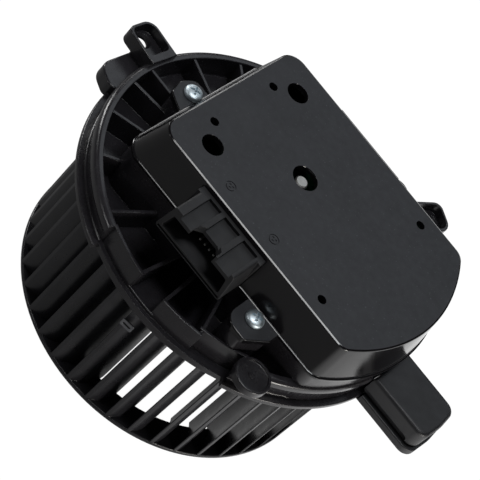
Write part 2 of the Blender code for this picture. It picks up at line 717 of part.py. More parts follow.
def make_cover():
    """D-shaped cap with three screw ears and a window for the connector."""
    crown = 1.0                 # chamfer round the top
    ceiling = COVER_HIGH - 2.4
    outer = [(d_outline(**BASE_D), COVER_BASE), (d_outline(**TOP_D), COVER_HIGH - crown),
             (d_outline(**TOP_D, inset=crown), COVER_HIGH)]
    cover = piece("electronics_cover", loft(outer), BLACK_GLOSS, ROOT)
    for outline in ear_outlines():
        join(cover, slab([outline], EAR_LOW, EAR_HIGH))
    hollow = [(d_outline(**BASE_D, inset=COVER_WALL), COVER_BASE - 1.0),
              (d_outline(**BASE_D, inset=COVER_WALL), COVER_BASE),
              (d_outline(**TOP_D, inset=COVER_WALL), ceiling)]
    cut(cover, slab([d_outline(**BASE_D)], EAR_LOW - 1.0, COVER_BASE), loft(hollow))
    window_half = COLLAR_HALF + GAP
    cut(cover, block(SOCKET_X - window_half, SOCKET_X + window_half, BASE_D["back"] - 6.0,
                     SOCKET_BACK + 7.0, COVER_BASE - 4.0, SOCKET_HIGH - GAP))
    low, high = ceiling - 5.0, COVER_HIGH + 5.0
    cut(cover, drum(CENTRE_HOLE_R, low, high, steps=24))
    for spot in WINDOW_SPOTS:
        cut(cover, drum(WINDOW_R, low, high, spot, 20))
    for spot in PINHOLE_SPOTS:
        cut(cover, drum(PINHOLE_R, low, high, spot, 12))
    clearance_r = COVER_SCREW["shank_r"] + 2.0 * GAP
    for spot in EAR_SPOTS:
        cut(cover, drum(clearance_r, EAR_LOW - 1.0, EAR_HIGH + 1.0, spot, 12))
    join(cover, block(-15.9, 22.3, 45.9, 47.6, COVER_HIGH - 4.0, COVER_HIGH - 0.8))
    screw_tip = 9.0
    for number, spot in enumerate(EAR_SPOTS, 1):
        screw = pan_screw(spot, EAR_HIGH + GAP, screw_tip, **COVER_SCREW)
        piece(f"cover_screw_{number}", screw, ZINC, ROOT)


def sector(inner, outer, start, end, low, high, steps=8):
    """Curved wall between two angles about the fan axis."""
    angles = [start + (end - start) * step / steps for step in range(steps + 1)]
    outline = [polar(outer, angle) for angle in angles]
    outline += [polar(inner, angle) for angle in reversed(angles)]
    return slab([outline], low, high)


def add_mounting_ears(flange):
    """Two boxed ears with a through hole beside a lower lobe, and one round lug."""
    ear = rounded([(MOUNT_ROOT, -MOUNT_HALF, 0.0), (MOUNT_REACH, -MOUNT_HALF, 5.0),
                   (MOUNT_REACH, MOUNT_HALF, 3.0), (MOUNT_ROOT, MOUNT_HALF, 0.0)])
    foot = rectangle(MOUNT_ROOT, MOUNT_FOOT, 0.4 - MOUNT_HALF, MOUNT_HALF - 0.4)
    pocket = rectangle(MOUNT_ROOT + 2.5, MOUNT_REACH - MOUNT_WALL, MOUNT_WALL - MOUNT_HALF,
                       MOUNT_HALF - MOUNT_WALL, 2.5, 3)
    web = rectangle(MOUNT_ROOT, 90.8, 3.5, MOUNT_HALF - 0.2)
    lobe = rounded([(78.0, 3.0, 0.0), (91.2, 6.0, 1.0), (91.0, 24.0, 7.0), (80.5, 27.5, 4.0),
                    (76.0, 24.0, 0.0)])
    for angle in MOUNT_ANGLES:
        join(flange, spun(slab([ear], MOUNT_SEAT_LOW, MOUNT_HIGH), angle),
             spun(slab([foot], 0.2, MOUNT_SEAT_HIGH - 1.0), angle),
             spun(slab([web], -2.0, MOUNT_SEAT_LOW + 0.7), angle),
             spun(slab([lobe], -LIP_THICK, LOBE_HIGH), angle))
        cut(flange, spun(slab([pocket], MOUNT_SEAT_HIGH, MOUNT_HIGH + 6.0), angle),
            drum(MOUNT_HOLE_R, 4.0, 12.0, polar(MOUNT_HOLE_AT, angle), 16))
    join(flange, drum(LUG_R, LUG_LOW, RIM_HIGH, LUG_SPOT, 24))


def rib_start(angle):
    """Distance from the axis to the middle of the tray wall along a rib."""
    ray = Vector(polar(200.0, angle))
    wall = [Vector(spot) for spot in d_outline(**BASE_D, inset=GAP + TRAY_WALL / 2.0)]
    for index, end in enumerate(wall):
        hit = intersect_line_line_2d(Vector((0.0, 0.0)), ray, wall[index - 1], end)
        if hit:
            return hit.length
    return RIM_R


def make_flange():
    """Lip and rim round a ribbed recess, with a D-shaped wall that carries the cover."""
    inner = RIM_R - RIM_WALL
    under = -LIP_THICK
    root = FLOOR_HIGH - WELD
    edge = 0.6
    profile = [(inner + edge, RIM_HIGH), (RIM_R - edge, RIM_HIGH), (RIM_R, RIM_HIGH - edge),
               (RIM_R, 0.4), (LIP_R - 0.5, 0.0), (LIP_R, -0.5), (LIP_R, under),
               (FLOOR_HOLE_R, under), (FLOOR_HOLE_R, FLOOR_HIGH), (inner, FLOOR_HIGH),
               (inner, RIM_HIGH - edge)]
    flange = piece("mounting_flange", turned(profile, 72), BLACK_SATIN, ROOT)
    beyond, above, below = LIP_R + 6.0, RIM_HIGH + 6.0, under - 6.0
    cut(flange, sector(70.0, beyond, FRONT_START, FRONT_END, 0.1, above),
        sector(FRONT_LIP_R, beyond, FRONT_START + 1.0, FRONT_END - 1.0, below, 1.0, 16))
    wall_line = dict(BASE_D, radius=RIM_R - 0.1)
    join(flange, slab([d_outline(**wall_line, inset=GAP),
                       d_outline(**wall_line, inset=GAP + TRAY_WALL)], root, COVER_BASE - GAP))
    for angles, reach in ((RIB_ANGLES, inner + WELD), (FRONT_RIB_ANGLES, inner - 0.2)):
        for angle in angles:
            rib = block(rib_start(angle), reach, -RIB_WALL / 2.0, RIB_WALL / 2.0, root, RIB_HIGH)
            join(flange, spun(rib, angle))
    for radius, start, end in FRONT_WALLS:
        join(flange, sector(radius - FRONT_WALL, radius, start, end, root, RIM_HIGH))
    (sill_r, _, sill_start), (_, sill_end, _) = FRONT_WALLS[:2]
    join(flange, sector(sill_r - FRONT_WALL, sill_r - 0.1, sill_start - 1.0, sill_end + 1.0, root,
                        FRONT_SILL_HIGH))
    for outline in ear_outlines(EAR_POST_INSET):
        join(flange, slab([outline], root, EAR_LOW - GAP))
    for spot in EAR_SPOTS:
        cut(flange, drum(COVER_SCREW["shank_r"] + GAP, 6.0, EAR_LOW + 1.0, spot, 10))
    add_mounting_ears(flange)
    spots = [polar(CARRIER_SCREWS_AT, angle) for angle in CARRIER_ANGLES]
    for spot in spots:
        cut(flange, drum(CARRIER_SCREW["shank_r"] + GAP, under - 1.0, FLOOR_HIGH + 1.0, spot, 8))
    inlet_half = DUCT_HALF - 2.5
    cut(flange, block(74.0, 90.0, -inlet_half, inlet_half, 1.0, DUCT_HIGH - 2.6))
    for number, spot in enumerate(spots, 1):
        screw = pan_screw(spot, PLATE_HIGH + GAP, under + 0.2, **CARRIER_SCREW)
        piece(f"carrier_screw_{number}", screw, ZINC, ROOT)


def blunt_outline(end, half, corner):
    """Outline of the duct: open at the flange, its far end slightly bowed."""
    shoulder = end - DUCT_NOSE
    return rounded([(DUCT_START, -half, 0.0), (shoulder, -half, corner), (end, 0.0, 0.0),
                    (shoulder, half, corner), (DUCT_START, half, 0.0)])


def make_duct():
    """Snorkel that leads cooling air to the motor: upper shell and lower tray."""
    half = DUCT_HALF
    brim = 1.2                  # tray's edge round the shell
    shell = slab([blunt_outline(DUCT_END - brim, half, 5.0)], DUCT_SPLIT, DUCT_HIGH)
    bevel = shell.modifiers.new("edge", "BEVEL")
    bevel.width = 0.9 * MM
    bevel.segments = 2
    bevel.limit_method = "ANGLE"
    piece("duct_cover", shell, BLACK_MATTE, ROOT)
    hollow = rectangle(DUCT_START - 2.0, DUCT_END - 4.6, DUCT_WALL - half, half - DUCT_WALL,
                       3.0, 3)
    cut(shell, slab([hollow], DUCT_SPLIT - 1.0, DUCT_HIGH - DUCT_WALL))
    groove_low, groove_high, groove_deep = 0.0, 4.2, 1.1
    for side in (-1.0, 1.0):
        faces = sorted((side * (half - groove_deep), side * (half + 2.0)))
        cut(shell, block(DUCT_START + 2.0, DUCT_END - 8.0, *faces, groove_low, groove_high))
    tray = slab([blunt_outline(DUCT_END, half + brim, 5.5)], DUCT_LOW, DUCT_SPLIT - GAP)
    piece("duct_tray", tray, BLACK_MATTE, ROOT)
    intake = block(DUCT_END - 25.0, DUCT_END - 6.0, 3.0 - half, half - 3.0, DUCT_LOW - 1.0, 0.0)
    cut(tray, slab([hollow], DUCT_LOW + DUCT_WALL, DUCT_SPLIT + 1.0), intake)
    cut(tray, drum(LIP_R + 2.0 * GAP, -LIP_THICK - GAP, 1.0, steps=72))


clear_scene()
PARTS = new_collection("blower_motor")
CUTTERS = new_collection("blower_motor_cutters")
ROOT = new_empty("blower_frame", None, Vector((AXIS_X, AXIS_Y, LIP_HEIGHT)) * MM)
SPIN = new_empty("wheel_axis", ROOT)

BLACK_SATIN = finish("black_satin_plastic", (0.022, 0.022, 0.024), 0.42)
BLACK_MATTE = finish("black_matte_plastic", (0.035, 0.036, 0.040), 0.62)
BLACK_GLOSS = finish("black_gloss_plastic", (0.016, 0.016, 0.018), 0.22)
ALUMINIUM = finish("cast_aluminium", (0.55, 0.56, 0.58), 0.45, 1.0)
STEEL = finish("ground_steel", (0.62, 0.62, 0.62), 0.28, 1.0)
ZINC = finish("zinc_plated_steel", (0.66, 0.70, 0.74), 0.30, 1.0)
BRASS = finish("brass", (0.70, 0.52, 0.22), 0.32, 1.0)
COPPER = finish("enamelled_copper", (0.55, 0.22, 0.10), 0.35, 1.0)
TIN = finish("tinned_copper", (0.72, 0.72, 0.72), 0.30, 1.0)
LAMINATION = finish("lamination_steel", (0.25, 0.26, 0.28), 0.50, 1.0)
FERRITE = finish("ferrite", (0.05, 0.05, 0.055), 0.70)
NYLON = finish("white_nylon", (0.75, 0.74, 0.70), 0.50)
BOARD_GREEN = finish("circuit_board", (0.02, 0.12, 0.06), 0.45)
CHIP_BLACK = finish("chip_plastic", (0.02, 0.02, 0.02), 0.55)
CAN_GREY = finish("capacitor_can", (0.35, 0.37, 0.40), 0.35, 1.0)

make_wheel()
make_shaft_line()
make_rotor()
make_balance_clip()
make_carrier()
make_bearings()
make_stator()
make_board()
make_components()
make_connector()
make_terminals()
make_flange()
make_cover()
make_duct()
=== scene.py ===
"""Looks of the brushless heater blower: detailed shells and finishes around the fixed frame.

Shapes are drawn in millimetres in the fan's own frame: the fan axis is Z, height zero is
the upper face of the flange's lip, +X points to the cooling duct and -Y to the connector.
place() then moves each shape to the shared frame, in metres.
"""

import json
import math

import bmesh
import bpy
from mathutils import Matrix, Vector
from mathutils.geometry import intersect_line_line_2d

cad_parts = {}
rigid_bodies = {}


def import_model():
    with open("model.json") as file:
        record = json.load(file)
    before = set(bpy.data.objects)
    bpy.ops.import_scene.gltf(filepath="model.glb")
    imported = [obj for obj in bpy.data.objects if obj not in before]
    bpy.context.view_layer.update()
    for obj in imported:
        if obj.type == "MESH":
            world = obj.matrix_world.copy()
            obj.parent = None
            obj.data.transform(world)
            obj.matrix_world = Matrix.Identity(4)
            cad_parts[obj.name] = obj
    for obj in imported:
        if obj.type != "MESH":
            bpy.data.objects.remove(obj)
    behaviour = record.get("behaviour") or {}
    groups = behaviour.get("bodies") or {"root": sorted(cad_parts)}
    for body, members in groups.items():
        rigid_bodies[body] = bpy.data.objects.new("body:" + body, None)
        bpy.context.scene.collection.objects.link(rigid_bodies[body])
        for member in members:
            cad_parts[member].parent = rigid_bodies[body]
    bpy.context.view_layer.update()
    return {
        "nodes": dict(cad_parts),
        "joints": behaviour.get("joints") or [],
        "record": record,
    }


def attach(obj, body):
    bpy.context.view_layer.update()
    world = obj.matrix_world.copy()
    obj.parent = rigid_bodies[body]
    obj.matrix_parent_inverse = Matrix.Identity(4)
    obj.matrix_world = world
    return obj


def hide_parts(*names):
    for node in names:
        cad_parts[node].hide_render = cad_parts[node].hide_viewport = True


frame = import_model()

MM = 0.001
GAP = 0.3                       # clearance between neighbouring pieces
FAN = Vector(frame["joints"][0]["pos_m"])   # fan axis at the lip's height

# Fan wheel
WHEEL_R = 75.0
BLADE_INNER_R = 59.0
BLADES = 41
BLADE_PHASE = -107.9
BLADE_BOW = 12.9
BLADE_TURN = 71.0
BLADE_WALL = 1.55
INLET_LOW = -69.0
INLET_HIGH = -66.6
INLET_INNER_R = 61.6
BACK_LOW = -10.0
BACK_HIGH = -7.6
HUB_LOW = -50.0
BUSH_R = 7.0
BORE_HIGH = -40.8
BLADE_THINNING = 0.45           # share of the wall lost at both edges of a blade
BLADE_BITE = 1.0                # how far the blades reach into both rings
RING_STEPS = 144
# The hub's dish as (radius, height, rounding), its outer side and then its inner one
HUB_OVER = ((55.0, BACK_LOW, 3.0), (48.0, -16.0, 4.0), (43.6, -34.0, 5.0), (38.4, -41.2, 3.0),
            (12.0, -43.4, 1.5), (10.6, HUB_LOW, 0.6))
HUB_UNDER = ((37.0, -39.0, 3.0), (41.2, -33.0, 4.0), (45.6, -14.4, 4.0), (53.4, BACK_HIGH, 3.0))
CLIP_ANGLE = -88.4
CLIP_HEIGHT = -16.4
CLIP_TILT = 7.4                 # degrees off the wheel's tangent

# Flange
LIP_R = 84.0
LIP_THICK = 2.5
BAND_R = 82.0                   # outer edge of the wall's top band
RIM_INNER_R = 78.0
RIM_FOOT_R = 80.2
RIM_HIGH = 11.4
FLOOR_HIGH = -0.5
FLOOR_HOLE_R = 41.0
RIB_HIGH = 10.6
RIB_WALL = 1.6
RIB_ANGLES = (-171.4, -155.4, -137.4, -117.4, 179.0, 160.0, 142.0, 124.0, 106.0, 88.0)
FRONT_START = -112.0            # stretch before the connector: narrower lip, thin walls
FRONT_END = -57.0
FRONT_LIP_R = 80.9
FRONT_WALL = 1.5
FRONT_WALLS = ((78.9, -112.6, -96.0), (78.5, -86.0, -71.0), (75.5, -72.7, -55.0))
FRONT_RIB_ANGLES = (-96.3, -85.7, -71.4)
FRONT_SILL_HIGH = 1.6
BEYOND_R = 90.0                 # past the lip, for cutters
LUG_SPOT = (49.8, -65.3)
LUG_R = 8.4
LUG_LOW = 7.6
LUG_DISH_R = 7.0
LUG_DISH_DEEP = 0.8
VENT_R = 1.6
VENT_FROM_AXIS = 45.0
VENT_ANGLES = (0.0, 140.0, 220.0)

# Mounting ears as (x, y, rounding), drawn along +X and then turned to their angles
MOUNT_ANGLES = (174.0, 62.0)
MOUNT_BOX = ((79.0, -7.6, 0.0), (98.6, -7.6, 5.5), (98.6, 7.6, 4.0), (79.0, 7.6, 0.0))
MOUNT_POCKET = ((82.5, -6.3, 2.5), (97.3, -6.3, 4.4), (97.3, 6.3, 3.0), (82.5, 6.3, 2.5))
MOUNT_LOBE = ((78.0, 3.0, 0.0), (91.2, 6.0, 1.0), (91.0, 24.0, 7.0), (80.5, 27.5, 4.0),
              (76.0, 24.0, 0.0))
MOUNT_LOW = 6.6
MOUNT_HIGH = 14.0
MOUNT_SEAT = 9.0
MOUNT_HOLE_FROM_AXIS = 92.6
MOUNT_HOLE_R = 3.1
MOUNT_DISH_R = 5.4

# Electronics cover
COVER_BASE = 20.0
COVER_HIGH = 39.8
BASE_D = dict(back=-54.0, half_width=50.2, radius=82.1, corner=9.5, tip_corner=7.0)
TOP_D = dict(back=-49.2, half_width=46.7, radius=79.5, corner=8.2, tip_corner=6.0)
EAR_SPOTS = ((-58.0, -0.6), (33.0, -56.0), (33.0, 56.0))
BACK_EAR = ((-52.6, -14.0, 0.0), (-63.6, -9.0, 4.0), (-65.8, -0.6, 6.0), (-62.5, 7.0, 5.0),
            (-52.6, 7.0, 0.0))
SIDE_EAR = ((24.6, -48.8, 0.0), (24.6, -67.2, 7.0), (37.0, -67.2, 3.0), (43.8, -56.5, 3.0),
            (43.8, -48.8, 0.0))
EAR_LOW = 18.2
EAR_HIGH = 21.2
CENTRE_HOLE_R = 5.9
WINDOW_SPOTS = ((-31.7, -30.6), (-31.7, 30.6))
WINDOW_R = 5.0
PINHOLE_SPOTS = ((-39.5, -21.0), (-39.5, 21.0), (43.6, 38.0), (43.6, -38.0))
PINHOLE_R = 2.0
MARK_SPOTS = ((-13.8, -37.6), (13.3, -37.7))
MARK_R = 2.5
MARK_LINE = 0.45
MARK_DEEP = 0.3
COVER_WALL = 2.0
BRIM = ((-0.6, 0.0), (-0.7, 0.3), (-0.7, 1.1), (-0.4, 1.4), (0.1, 1.5))     # (inset, rise)
CROWN = ((0.0, 1.0), (0.05, 0.6), (0.16, 0.36), (0.19, 0.33), (0.76, 0.06), (0.82, 0.02),
         (0.9, 0.0))            # (inset, drop)
SCREW = dict(head_r=4.3, head_high=2.7, shank_r=1.7)
SCREW_TIP = 9.0

# Connector socket
SOCKET_X = -0.85
SOCKET_HALF_LOW = 19.65
SOCKET_HALF_HIGH = 17.75
SOCKET_LOW = 23.0
SOCKET_HIGH = 38.0
SOCKET_FRONT = -67.0
SOCKET_BACK = -46.9
SOCKET_WALL = 2.2
ROOF_DROP = 2.2
ROOF_PANELS = ((-14.4, -7.5), (-5.0, 4.0), (6.7, 15.0))
LATCH_NOTCH = (-8.0, 5.8)
COLLAR_HALF = 19.4
PIN_HEIGHT = 29.6
PIN_SLOT_HALF = 0.8
SIGNAL_SPOTS = (-4.3, -1.6, 1.1, 3.8)
POWER_SPOTS = (-12.6, 11.0)
POWER_SLOT_HALF = 3.5

# Cooling duct
DUCT_START = 81.5
DUCT_END = 115.4
DUCT_HALF = 13.0
DUCT_HIGH = 12.0
DUCT_SPLIT = 1.2
DUCT_LOW = -3.0
DUCT_WALL = 1.8
DUCT_BRIM = 1.2                 # how far the tray stands out past the shell

# Studio, in metres: (name, spot, size, watts, colour)
LIGHT_TARGET = (0.0, 0.0, 0.07)
NEUTRAL = (1.0, 1.0, 1.0)
LIGHTS = (("behind", (0.0, 0.75, 0.85), (0.9, 0.5), 1.3, (0.88, 0.94, 1.0)),
          ("overhead", (0.15, -0.05, 1.1), (0.5, 0.12), 2.8, (0.94, 0.97, 1.0)),
          ("back_left", (-0.9, 0.3, 0.42), (0.12, 0.45), 3.0, NEUTRAL),
          ("front_left", (-0.8, -0.75, 0.5), (0.08, 0.5), 1.2, NEUTRAL),
          ("right", (0.9, -0.35, 0.12), (0.3, 0.2), 4.0, (1.0, 0.96, 0.90)),
          ("edge_above", (-0.08, -0.12, 1.1), (0.26, 0.26), 2.2, NEUTRAL),
          ("edge_left", (-0.64, 0.79, 0.5), (0.2, 0.2), 0.8, NEUTRAL))
WORLD_LEVEL = 0.03              # what the world lights the object with
SEEN_LEVEL = 1.0                # how bright floor and world look to the camera
FLOOR_SIZE = 3.0
FLOOR_DROP = 0.0005             # keeps the floor clear of the rim that stands on it
FLOOR_ALBEDO = (0.04, 0.04, 0.04)
GLOW_ACROSS = (1.0, 0.5, 0.0)   # direction in which the floor's glow grows
GLOW_START = -0.02
GLOW_END = 0.12
GLOW_LOW = 0.17
GLOW_HIGH = 1.15

# Camera, seen from the fan's frame
CAMERA_AZIMUTH = 6.4219
CAMERA_ELEVATION = 43.5518
CAMERA_ROLL = 46.5892
CAMERA_DISTANCE = 843.6
CAMERA_SHIFT = (5.729, 5.368)   # fan axis point from the picture's middle
CAMERA_LENS = 150.0


# --- outlines -------------------------------------------------------------------------

def polar(radius, degrees):
    angle = math.radians(degrees)
    return radius * math.cos(angle), radius * math.sin(angle)


def circle(radius, steps=48, centre=(0.0, 0.0)):
    spots = [polar(radius, 360.0 * step / steps) for step in range(steps)]
    return [(centre[0] + x, centre[1] + y) for x, y in spots]


def rounded(corners, steps=6):
    """Outline through (x, y, radius) corners, each rounded by its own radius."""
    outline = []
    for index, (x, y, radius) in enumerate(corners):
        here = Vector((x, y))
        before = Vector(corners[index - 1][:2]) - here
        after = Vector(corners[(index + 1) % len(corners)][:2]) - here
        if radius <= 0.0:
            outline.append((x, y))
            continue
        before.normalize()
        after.normalize()
        half = before.angle(after) / 2.0
        middle = here + (before + after).normalized() * (radius / math.sin(half))
        start = here + before * (radius / math.tan(half)) - middle
        end = here + after * (radius / math.tan(half)) - middle
        swing = start.angle_signed(end)
        for step in range(steps + 1):
            turn = Matrix.Rotation(-swing * step / steps, 2)
            outline.append(tuple(middle + turn @ start))
    return outline


def rectangle(x_low, x_high, y_low, y_high, radius=0.0, steps=5):
    corners = [(x_low, y_low, radius), (x_high, y_low, radius),
               (x_high, y_high, radius), (x_low, y_high, radius)]
    return rounded(corners, steps)


def d_outline(back, half_width, radius, corner, tip_corner, inset=0.0, arc_steps=48):
    """Flat back and sides closed by an arc about the fan axis."""
    back += inset
    half_width -= inset
    radius -= inset
    corner = max(corner - inset, 1.0)
    tip_corner = max(tip_corner - inset, 1.0)
    tip = math.degrees(math.asin(half_width / radius))
    trim = math.degrees(tip_corner / radius)
    corners = [(back, -half_width, corner), (*polar(radius, -tip), tip_corner)]
    for step in range(arc_steps + 1):
        reach = tip - trim
        corners.append((*polar(radius, -reach + 2.0 * reach * step / arc_steps), 0.0))
    corners += [(*polar(radius, tip), tip_corner), (back, half_width, corner)]
    return rounded(corners, 8)


def sector_outline(inner, outer, start, end, steps=24):
    angles = [start + (end - start) * step / steps for step in range(steps + 1)]
    outline = [polar(outer, angle) for angle in angles]
    return outline + [polar(inner, angle) for angle in reversed(angles)]


# --- solids, in millimetres -----------------------------------------------------------

def solid(bm, name="solid"):
    bmesh.ops.recalc_face_normals(bm, faces=bm.faces)
    mesh = bpy.data.meshes.new(name)
    bm.to_mesh(mesh)
    bm.free()
    return bpy.data.objects.new(name, mesh)


def slab(outlines, low, high, edge=0.4, edge_steps=2):
    """Flat plate from an outer outline and any holes, its edges rounded by edge."""
    curve = bpy.data.curves.new("outline", "CURVE")
    curve.dimensions = "2D"
    curve.fill_mode = "BOTH"
    curve.extrude = (high - low) / 2.0 - edge
    curve.bevel_depth = edge
    curve.offset = -edge
    curve.bevel_resolution = edge_steps
    for outline in outlines:
        spline = curve.splines.new("POLY")
        spline.points.add(len(outline) - 1)
        for point, (x, y) in zip(spline.points, outline):
            point.co = (x, y, 0.0, 1.0)
        spline.use_cyclic_u = True
    guide = bpy.data.objects.new("guide", curve)
    bpy.context.scene.collection.objects.link(guide)
    depsgraph = bpy.context.evaluated_depsgraph_get()
    mesh = bpy.data.meshes.new_from_object(guide.evaluated_get(depsgraph))
    bpy.data.objects.remove(guide, do_unlink=True)
    bm = bmesh.new()
    bm.from_mesh(mesh)
    bpy.data.meshes.remove(mesh)
    bmesh.ops.remove_doubles(bm, verts=bm.verts, dist=0.001)
    bmesh.ops.translate(bm, verts=bm.verts, vec=(0.0, 0.0, (low + high) / 2.0))
    return solid(bm, "slab")


def loft(sections):
    """Solid through (outline, height) sections that have equal point counts."""
    bm = bmesh.new()
    loops = [[bm.verts.new((x, y, height)) for x, y in outline] for outline, height in sections]
    count = len(loops[0])
    for lower, upper in zip(loops, loops[1:]):
        for index in range(count):
            after = (index + 1) % count
            bm.faces.new((lower[index], lower[after], upper[after], upper[index]))
    bm.faces.new(list(reversed(loops[0])))
    bm.faces.new(loops[-1])
    return solid(bm, "loft")


def revolved(profile, steps=120, closed=True):
    """Solid of revolution of a (radius, height) profile; an open one ends on the axis."""
    bm = bmesh.new()
    rings = []
    for radius, height in profile:
        if radius < 0.001:
            rings.append([bm.verts.new((0.0, 0.0, height))] * steps)
        else:
            spots = circle(radius, steps)
            rings.append([bm.verts.new((x, y, height)) for x, y in spots])
    pairs = list(zip(rings, rings[1:]))
    if closed:
        pairs.append((rings[-1], rings[0]))
    for upper, lower in pairs:
        for index in range(steps):
            after = (index + 1) % steps
            corners = (upper[index], upper[after], lower[after], lower[index])
            bm.faces.new(list(dict.fromkeys(corners)))
    return solid(bm, "revolved")


def revolved_at(profile, spot, steps=40):
    """Solid of revolution whose open profile ends on an upright axis through a spot."""
    obj = revolved(profile, steps, closed=False)
    obj.location = (*spot, 0.0)
    return obj


def drum(radius, low, high, centre=(0.0, 0.0), edge=0.0, steps=48):
    """Upright cylinder, its edges rounded by edge."""
    profile = [(0.0, high), (radius, high), (radius, low), (0.0, low)]
    if edge > 0.0:
        corners = [(-radius, low, 0.0), (-radius, high, 0.0), (radius, high, edge),
                   (radius, low, edge)]
        outer = [spot for spot in rounded(corners, 4) if spot[0] > 0.0]
        profile = [(0.0, high), *outer, (0.0, low)]
    return revolved_at(profile, centre, steps)


def block(x_low, x_high, y_low, y_high, low, high, edge=0.0):
    bm = bmesh.new()
    bmesh.ops.create_cube(bm, size=1.0)
    size = Vector((x_high - x_low, y_high - y_low, high - low))
    middle = Vector((x_low + x_high, y_low + y_high, low + high)) / 2.0
    bmesh.ops.transform(bm, verts=bm.verts, matrix=Matrix.LocRotScale(middle, None, size))
    if edge > 0.0:
        bmesh.ops.bevel(bm, geom=list(bm.edges), offset=edge, segments=2, profile=0.5,
                        affect="EDGES")
    return solid(bm, "block")


def spun(obj, degrees):
    obj.rotation_euler.z += math.radians(degrees)
    return obj


def along_y(outlines, front, back, edge=0.3):
    """Upright (X, Z) outlines, extruded from front to back along Y."""
    obj = slab(outlines, -back, -front, edge)
    obj.rotation_euler = (math.radians(90.0), 0.0, 0.0)
    return obj


def baked(obj):
    """The object's evaluated mesh with its own placement worked into the points."""
    scene_objects = bpy.context.scene.collection.objects
    if obj.name not in scene_objects:
        scene_objects.link(obj)
    depsgraph = bpy.context.evaluated_depsgraph_get()
    mesh = bpy.data.meshes.new_from_object(obj.evaluated_get(depsgraph))
    mesh.transform(obj.matrix_world)
    bpy.data.objects.remove(obj, do_unlink=True)
    return bpy.data.objects.new("baked", mesh)


def combined(base, others, operation):
    """Boolean of one shape with several, baked into a plain mesh."""
    tools = bpy.data.collections.new("tools")
    bpy.context.scene.collection.children.link(tools)
    for other in others:
        tools.objects.link(other)
    step = base.modifiers.new("combine", "BOOLEAN")
    step.operation = operation
    step.solver = "EXACT"
    step.operand_type = "COLLECTION"
    step.collection = tools
    result = baked(base)
    for other in list(tools.objects):
        bpy.data.objects.remove(other, do_unlink=True)
    bpy.data.collections.remove(tools)
    return result


def carved(base, *cutters):
    return combined(base, cutters, "DIFFERENCE")


def united(base, *others):
    return combined(base, others, "UNION")


def place(obj, name, body, slot, material, *nodes, angle=35.0):
    """Name a finished shape and put it in the shared frame, riding on a body."""
    obj = baked(obj)
    obj.data.transform(Matrix.Translation(FAN) @ Matrix.Scale(MM, 4))
    obj.name = name
    obj.data.name = name
    bpy.context.scene.collection.objects.link(obj)
    obj.data.shade_smooth()
    obj.data.set_sharp_from_angle(angle=math.radians(angle))
    normals = obj.modifiers.new("flat faces first", "WEIGHTED_NORMAL")
    normals.keep_sharp = True
    obj.data.materials.clear()
    obj.data.materials.append(material)
    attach(obj, body)
    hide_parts(*nodes)


# --- finishes -------------------------------------------------------------------------

class Finish:
    """Node tree of one material, with short ways to add what they share."""

    def __init__(self, name, roughness, metallic=0.0, colour=(0.5, 0.5, 0.5)):
        self.material = bpy.data.materials.new(name)
        self.material.use_nodes = True
        self.tree = self.material.node_tree
        self.shader = self.tree.nodes["Principled BSDF"]
        self.shader.inputs["Base Color"].default_value = (*colour, 1.0)
        self.shader.inputs["Roughness"].default_value = roughness
        self.shader.inputs["Metallic"].default_value = metallic
        self.place = self.tree.nodes.new("ShaderNodeTexCoord").outputs["Object"]

    def link(self, output, socket):
        self.tree.links.new(output, socket)

    def noise(self, size_mm, detail=2.0, stretch=None):
        """Noise whose lumps are about size_mm across; stretch squeezes it per axis."""
        node = self.tree.nodes.new("ShaderNodeTexNoise")
        node.inputs["Scale"].default_value = 1000.0 / size_mm
        node.inputs["Detail"].default_value = detail
        source = self.place
        if stretch:
            mapping = self.tree.nodes.new("ShaderNodeMapping")
            mapping.inputs["Scale"].default_value = stretch
            self.link(self.place, mapping.inputs["Vector"])
            source = mapping.outputs["Vector"]
        self.link(source, node.inputs["Vector"])
        return node.outputs["Fac"]

    def ranged(self, value, low, high, from_low=0.3, from_high=0.7):
        node = self.tree.nodes.new("ShaderNodeMapRange")
        node.inputs["From Min"].default_value = from_low
        node.inputs["From Max"].default_value = from_high
        node.inputs["To Min"].default_value = low
        node.inputs["To Max"].default_value = high
        self.link(value, node.inputs["Value"])
        return node.outputs["Result"]

    def mixed(self, factor, dark, light):
        node = self.tree.nodes.new("ShaderNodeMix")
        node.data_type = "RGBA"
        node.inputs["A"].default_value = (*dark, 1.0)
        node.inputs["B"].default_value = (*light, 1.0)
        self.link(factor, node.inputs["Factor"])
        return node.outputs["Result"]

    def colour(self, factor, dark, light):
        self.link(self.mixed(factor, dark, light), self.shader.inputs["Base Color"])

    def roughness(self, value):
        self.link(value, self.shader.inputs["Roughness"])

    def relief(self, height, depth_mm, strength=1.0, edge_mm=0.0):
        """Bump of the given depth, over edges rounded by edge_mm."""
        bump = self.tree.nodes.new("ShaderNodeBump")
        bump.inputs["Strength"].default_value = strength
        bump.inputs["Distance"].default_value = depth_mm * MM
        self.link(height, bump.inputs["Height"])
        if edge_mm > 0.0:
            bevel = self.tree.nodes.new("ShaderNodeBevel")
            bevel.samples = 4
            bevel.inputs["Radius"].default_value = edge_mm * MM
            self.link(bevel.outputs["Normal"], bump.inputs["Normal"])
        self.link(bump.outputs["Normal"], self.shader.inputs["Normal"])


def scaled(colour, factor):
    return tuple(channel * factor for channel in colour)


def moulded(name, colour, rough_low, rough_high, grain_mm=0.35, depth_mm=0.02, edge_mm=0.25):
    """Moulded plastic: cloudy gloss, fine grain and slightly softened edges."""
    finish = Finish(name, rough_low)
    cloud = finish.noise(14.0, 3.0)
    finish.colour(finish.ranged(cloud, 0.0, 1.0), scaled(colour, 0.8), scaled(colour, 1.2))
    finish.roughness(finish.ranged(finish.noise(5.0, 4.0), rough_low, rough_high))
    finish.relief(finish.noise(grain_mm, 2.0), depth_mm, 0.6, edge_mm)
    return finish.material


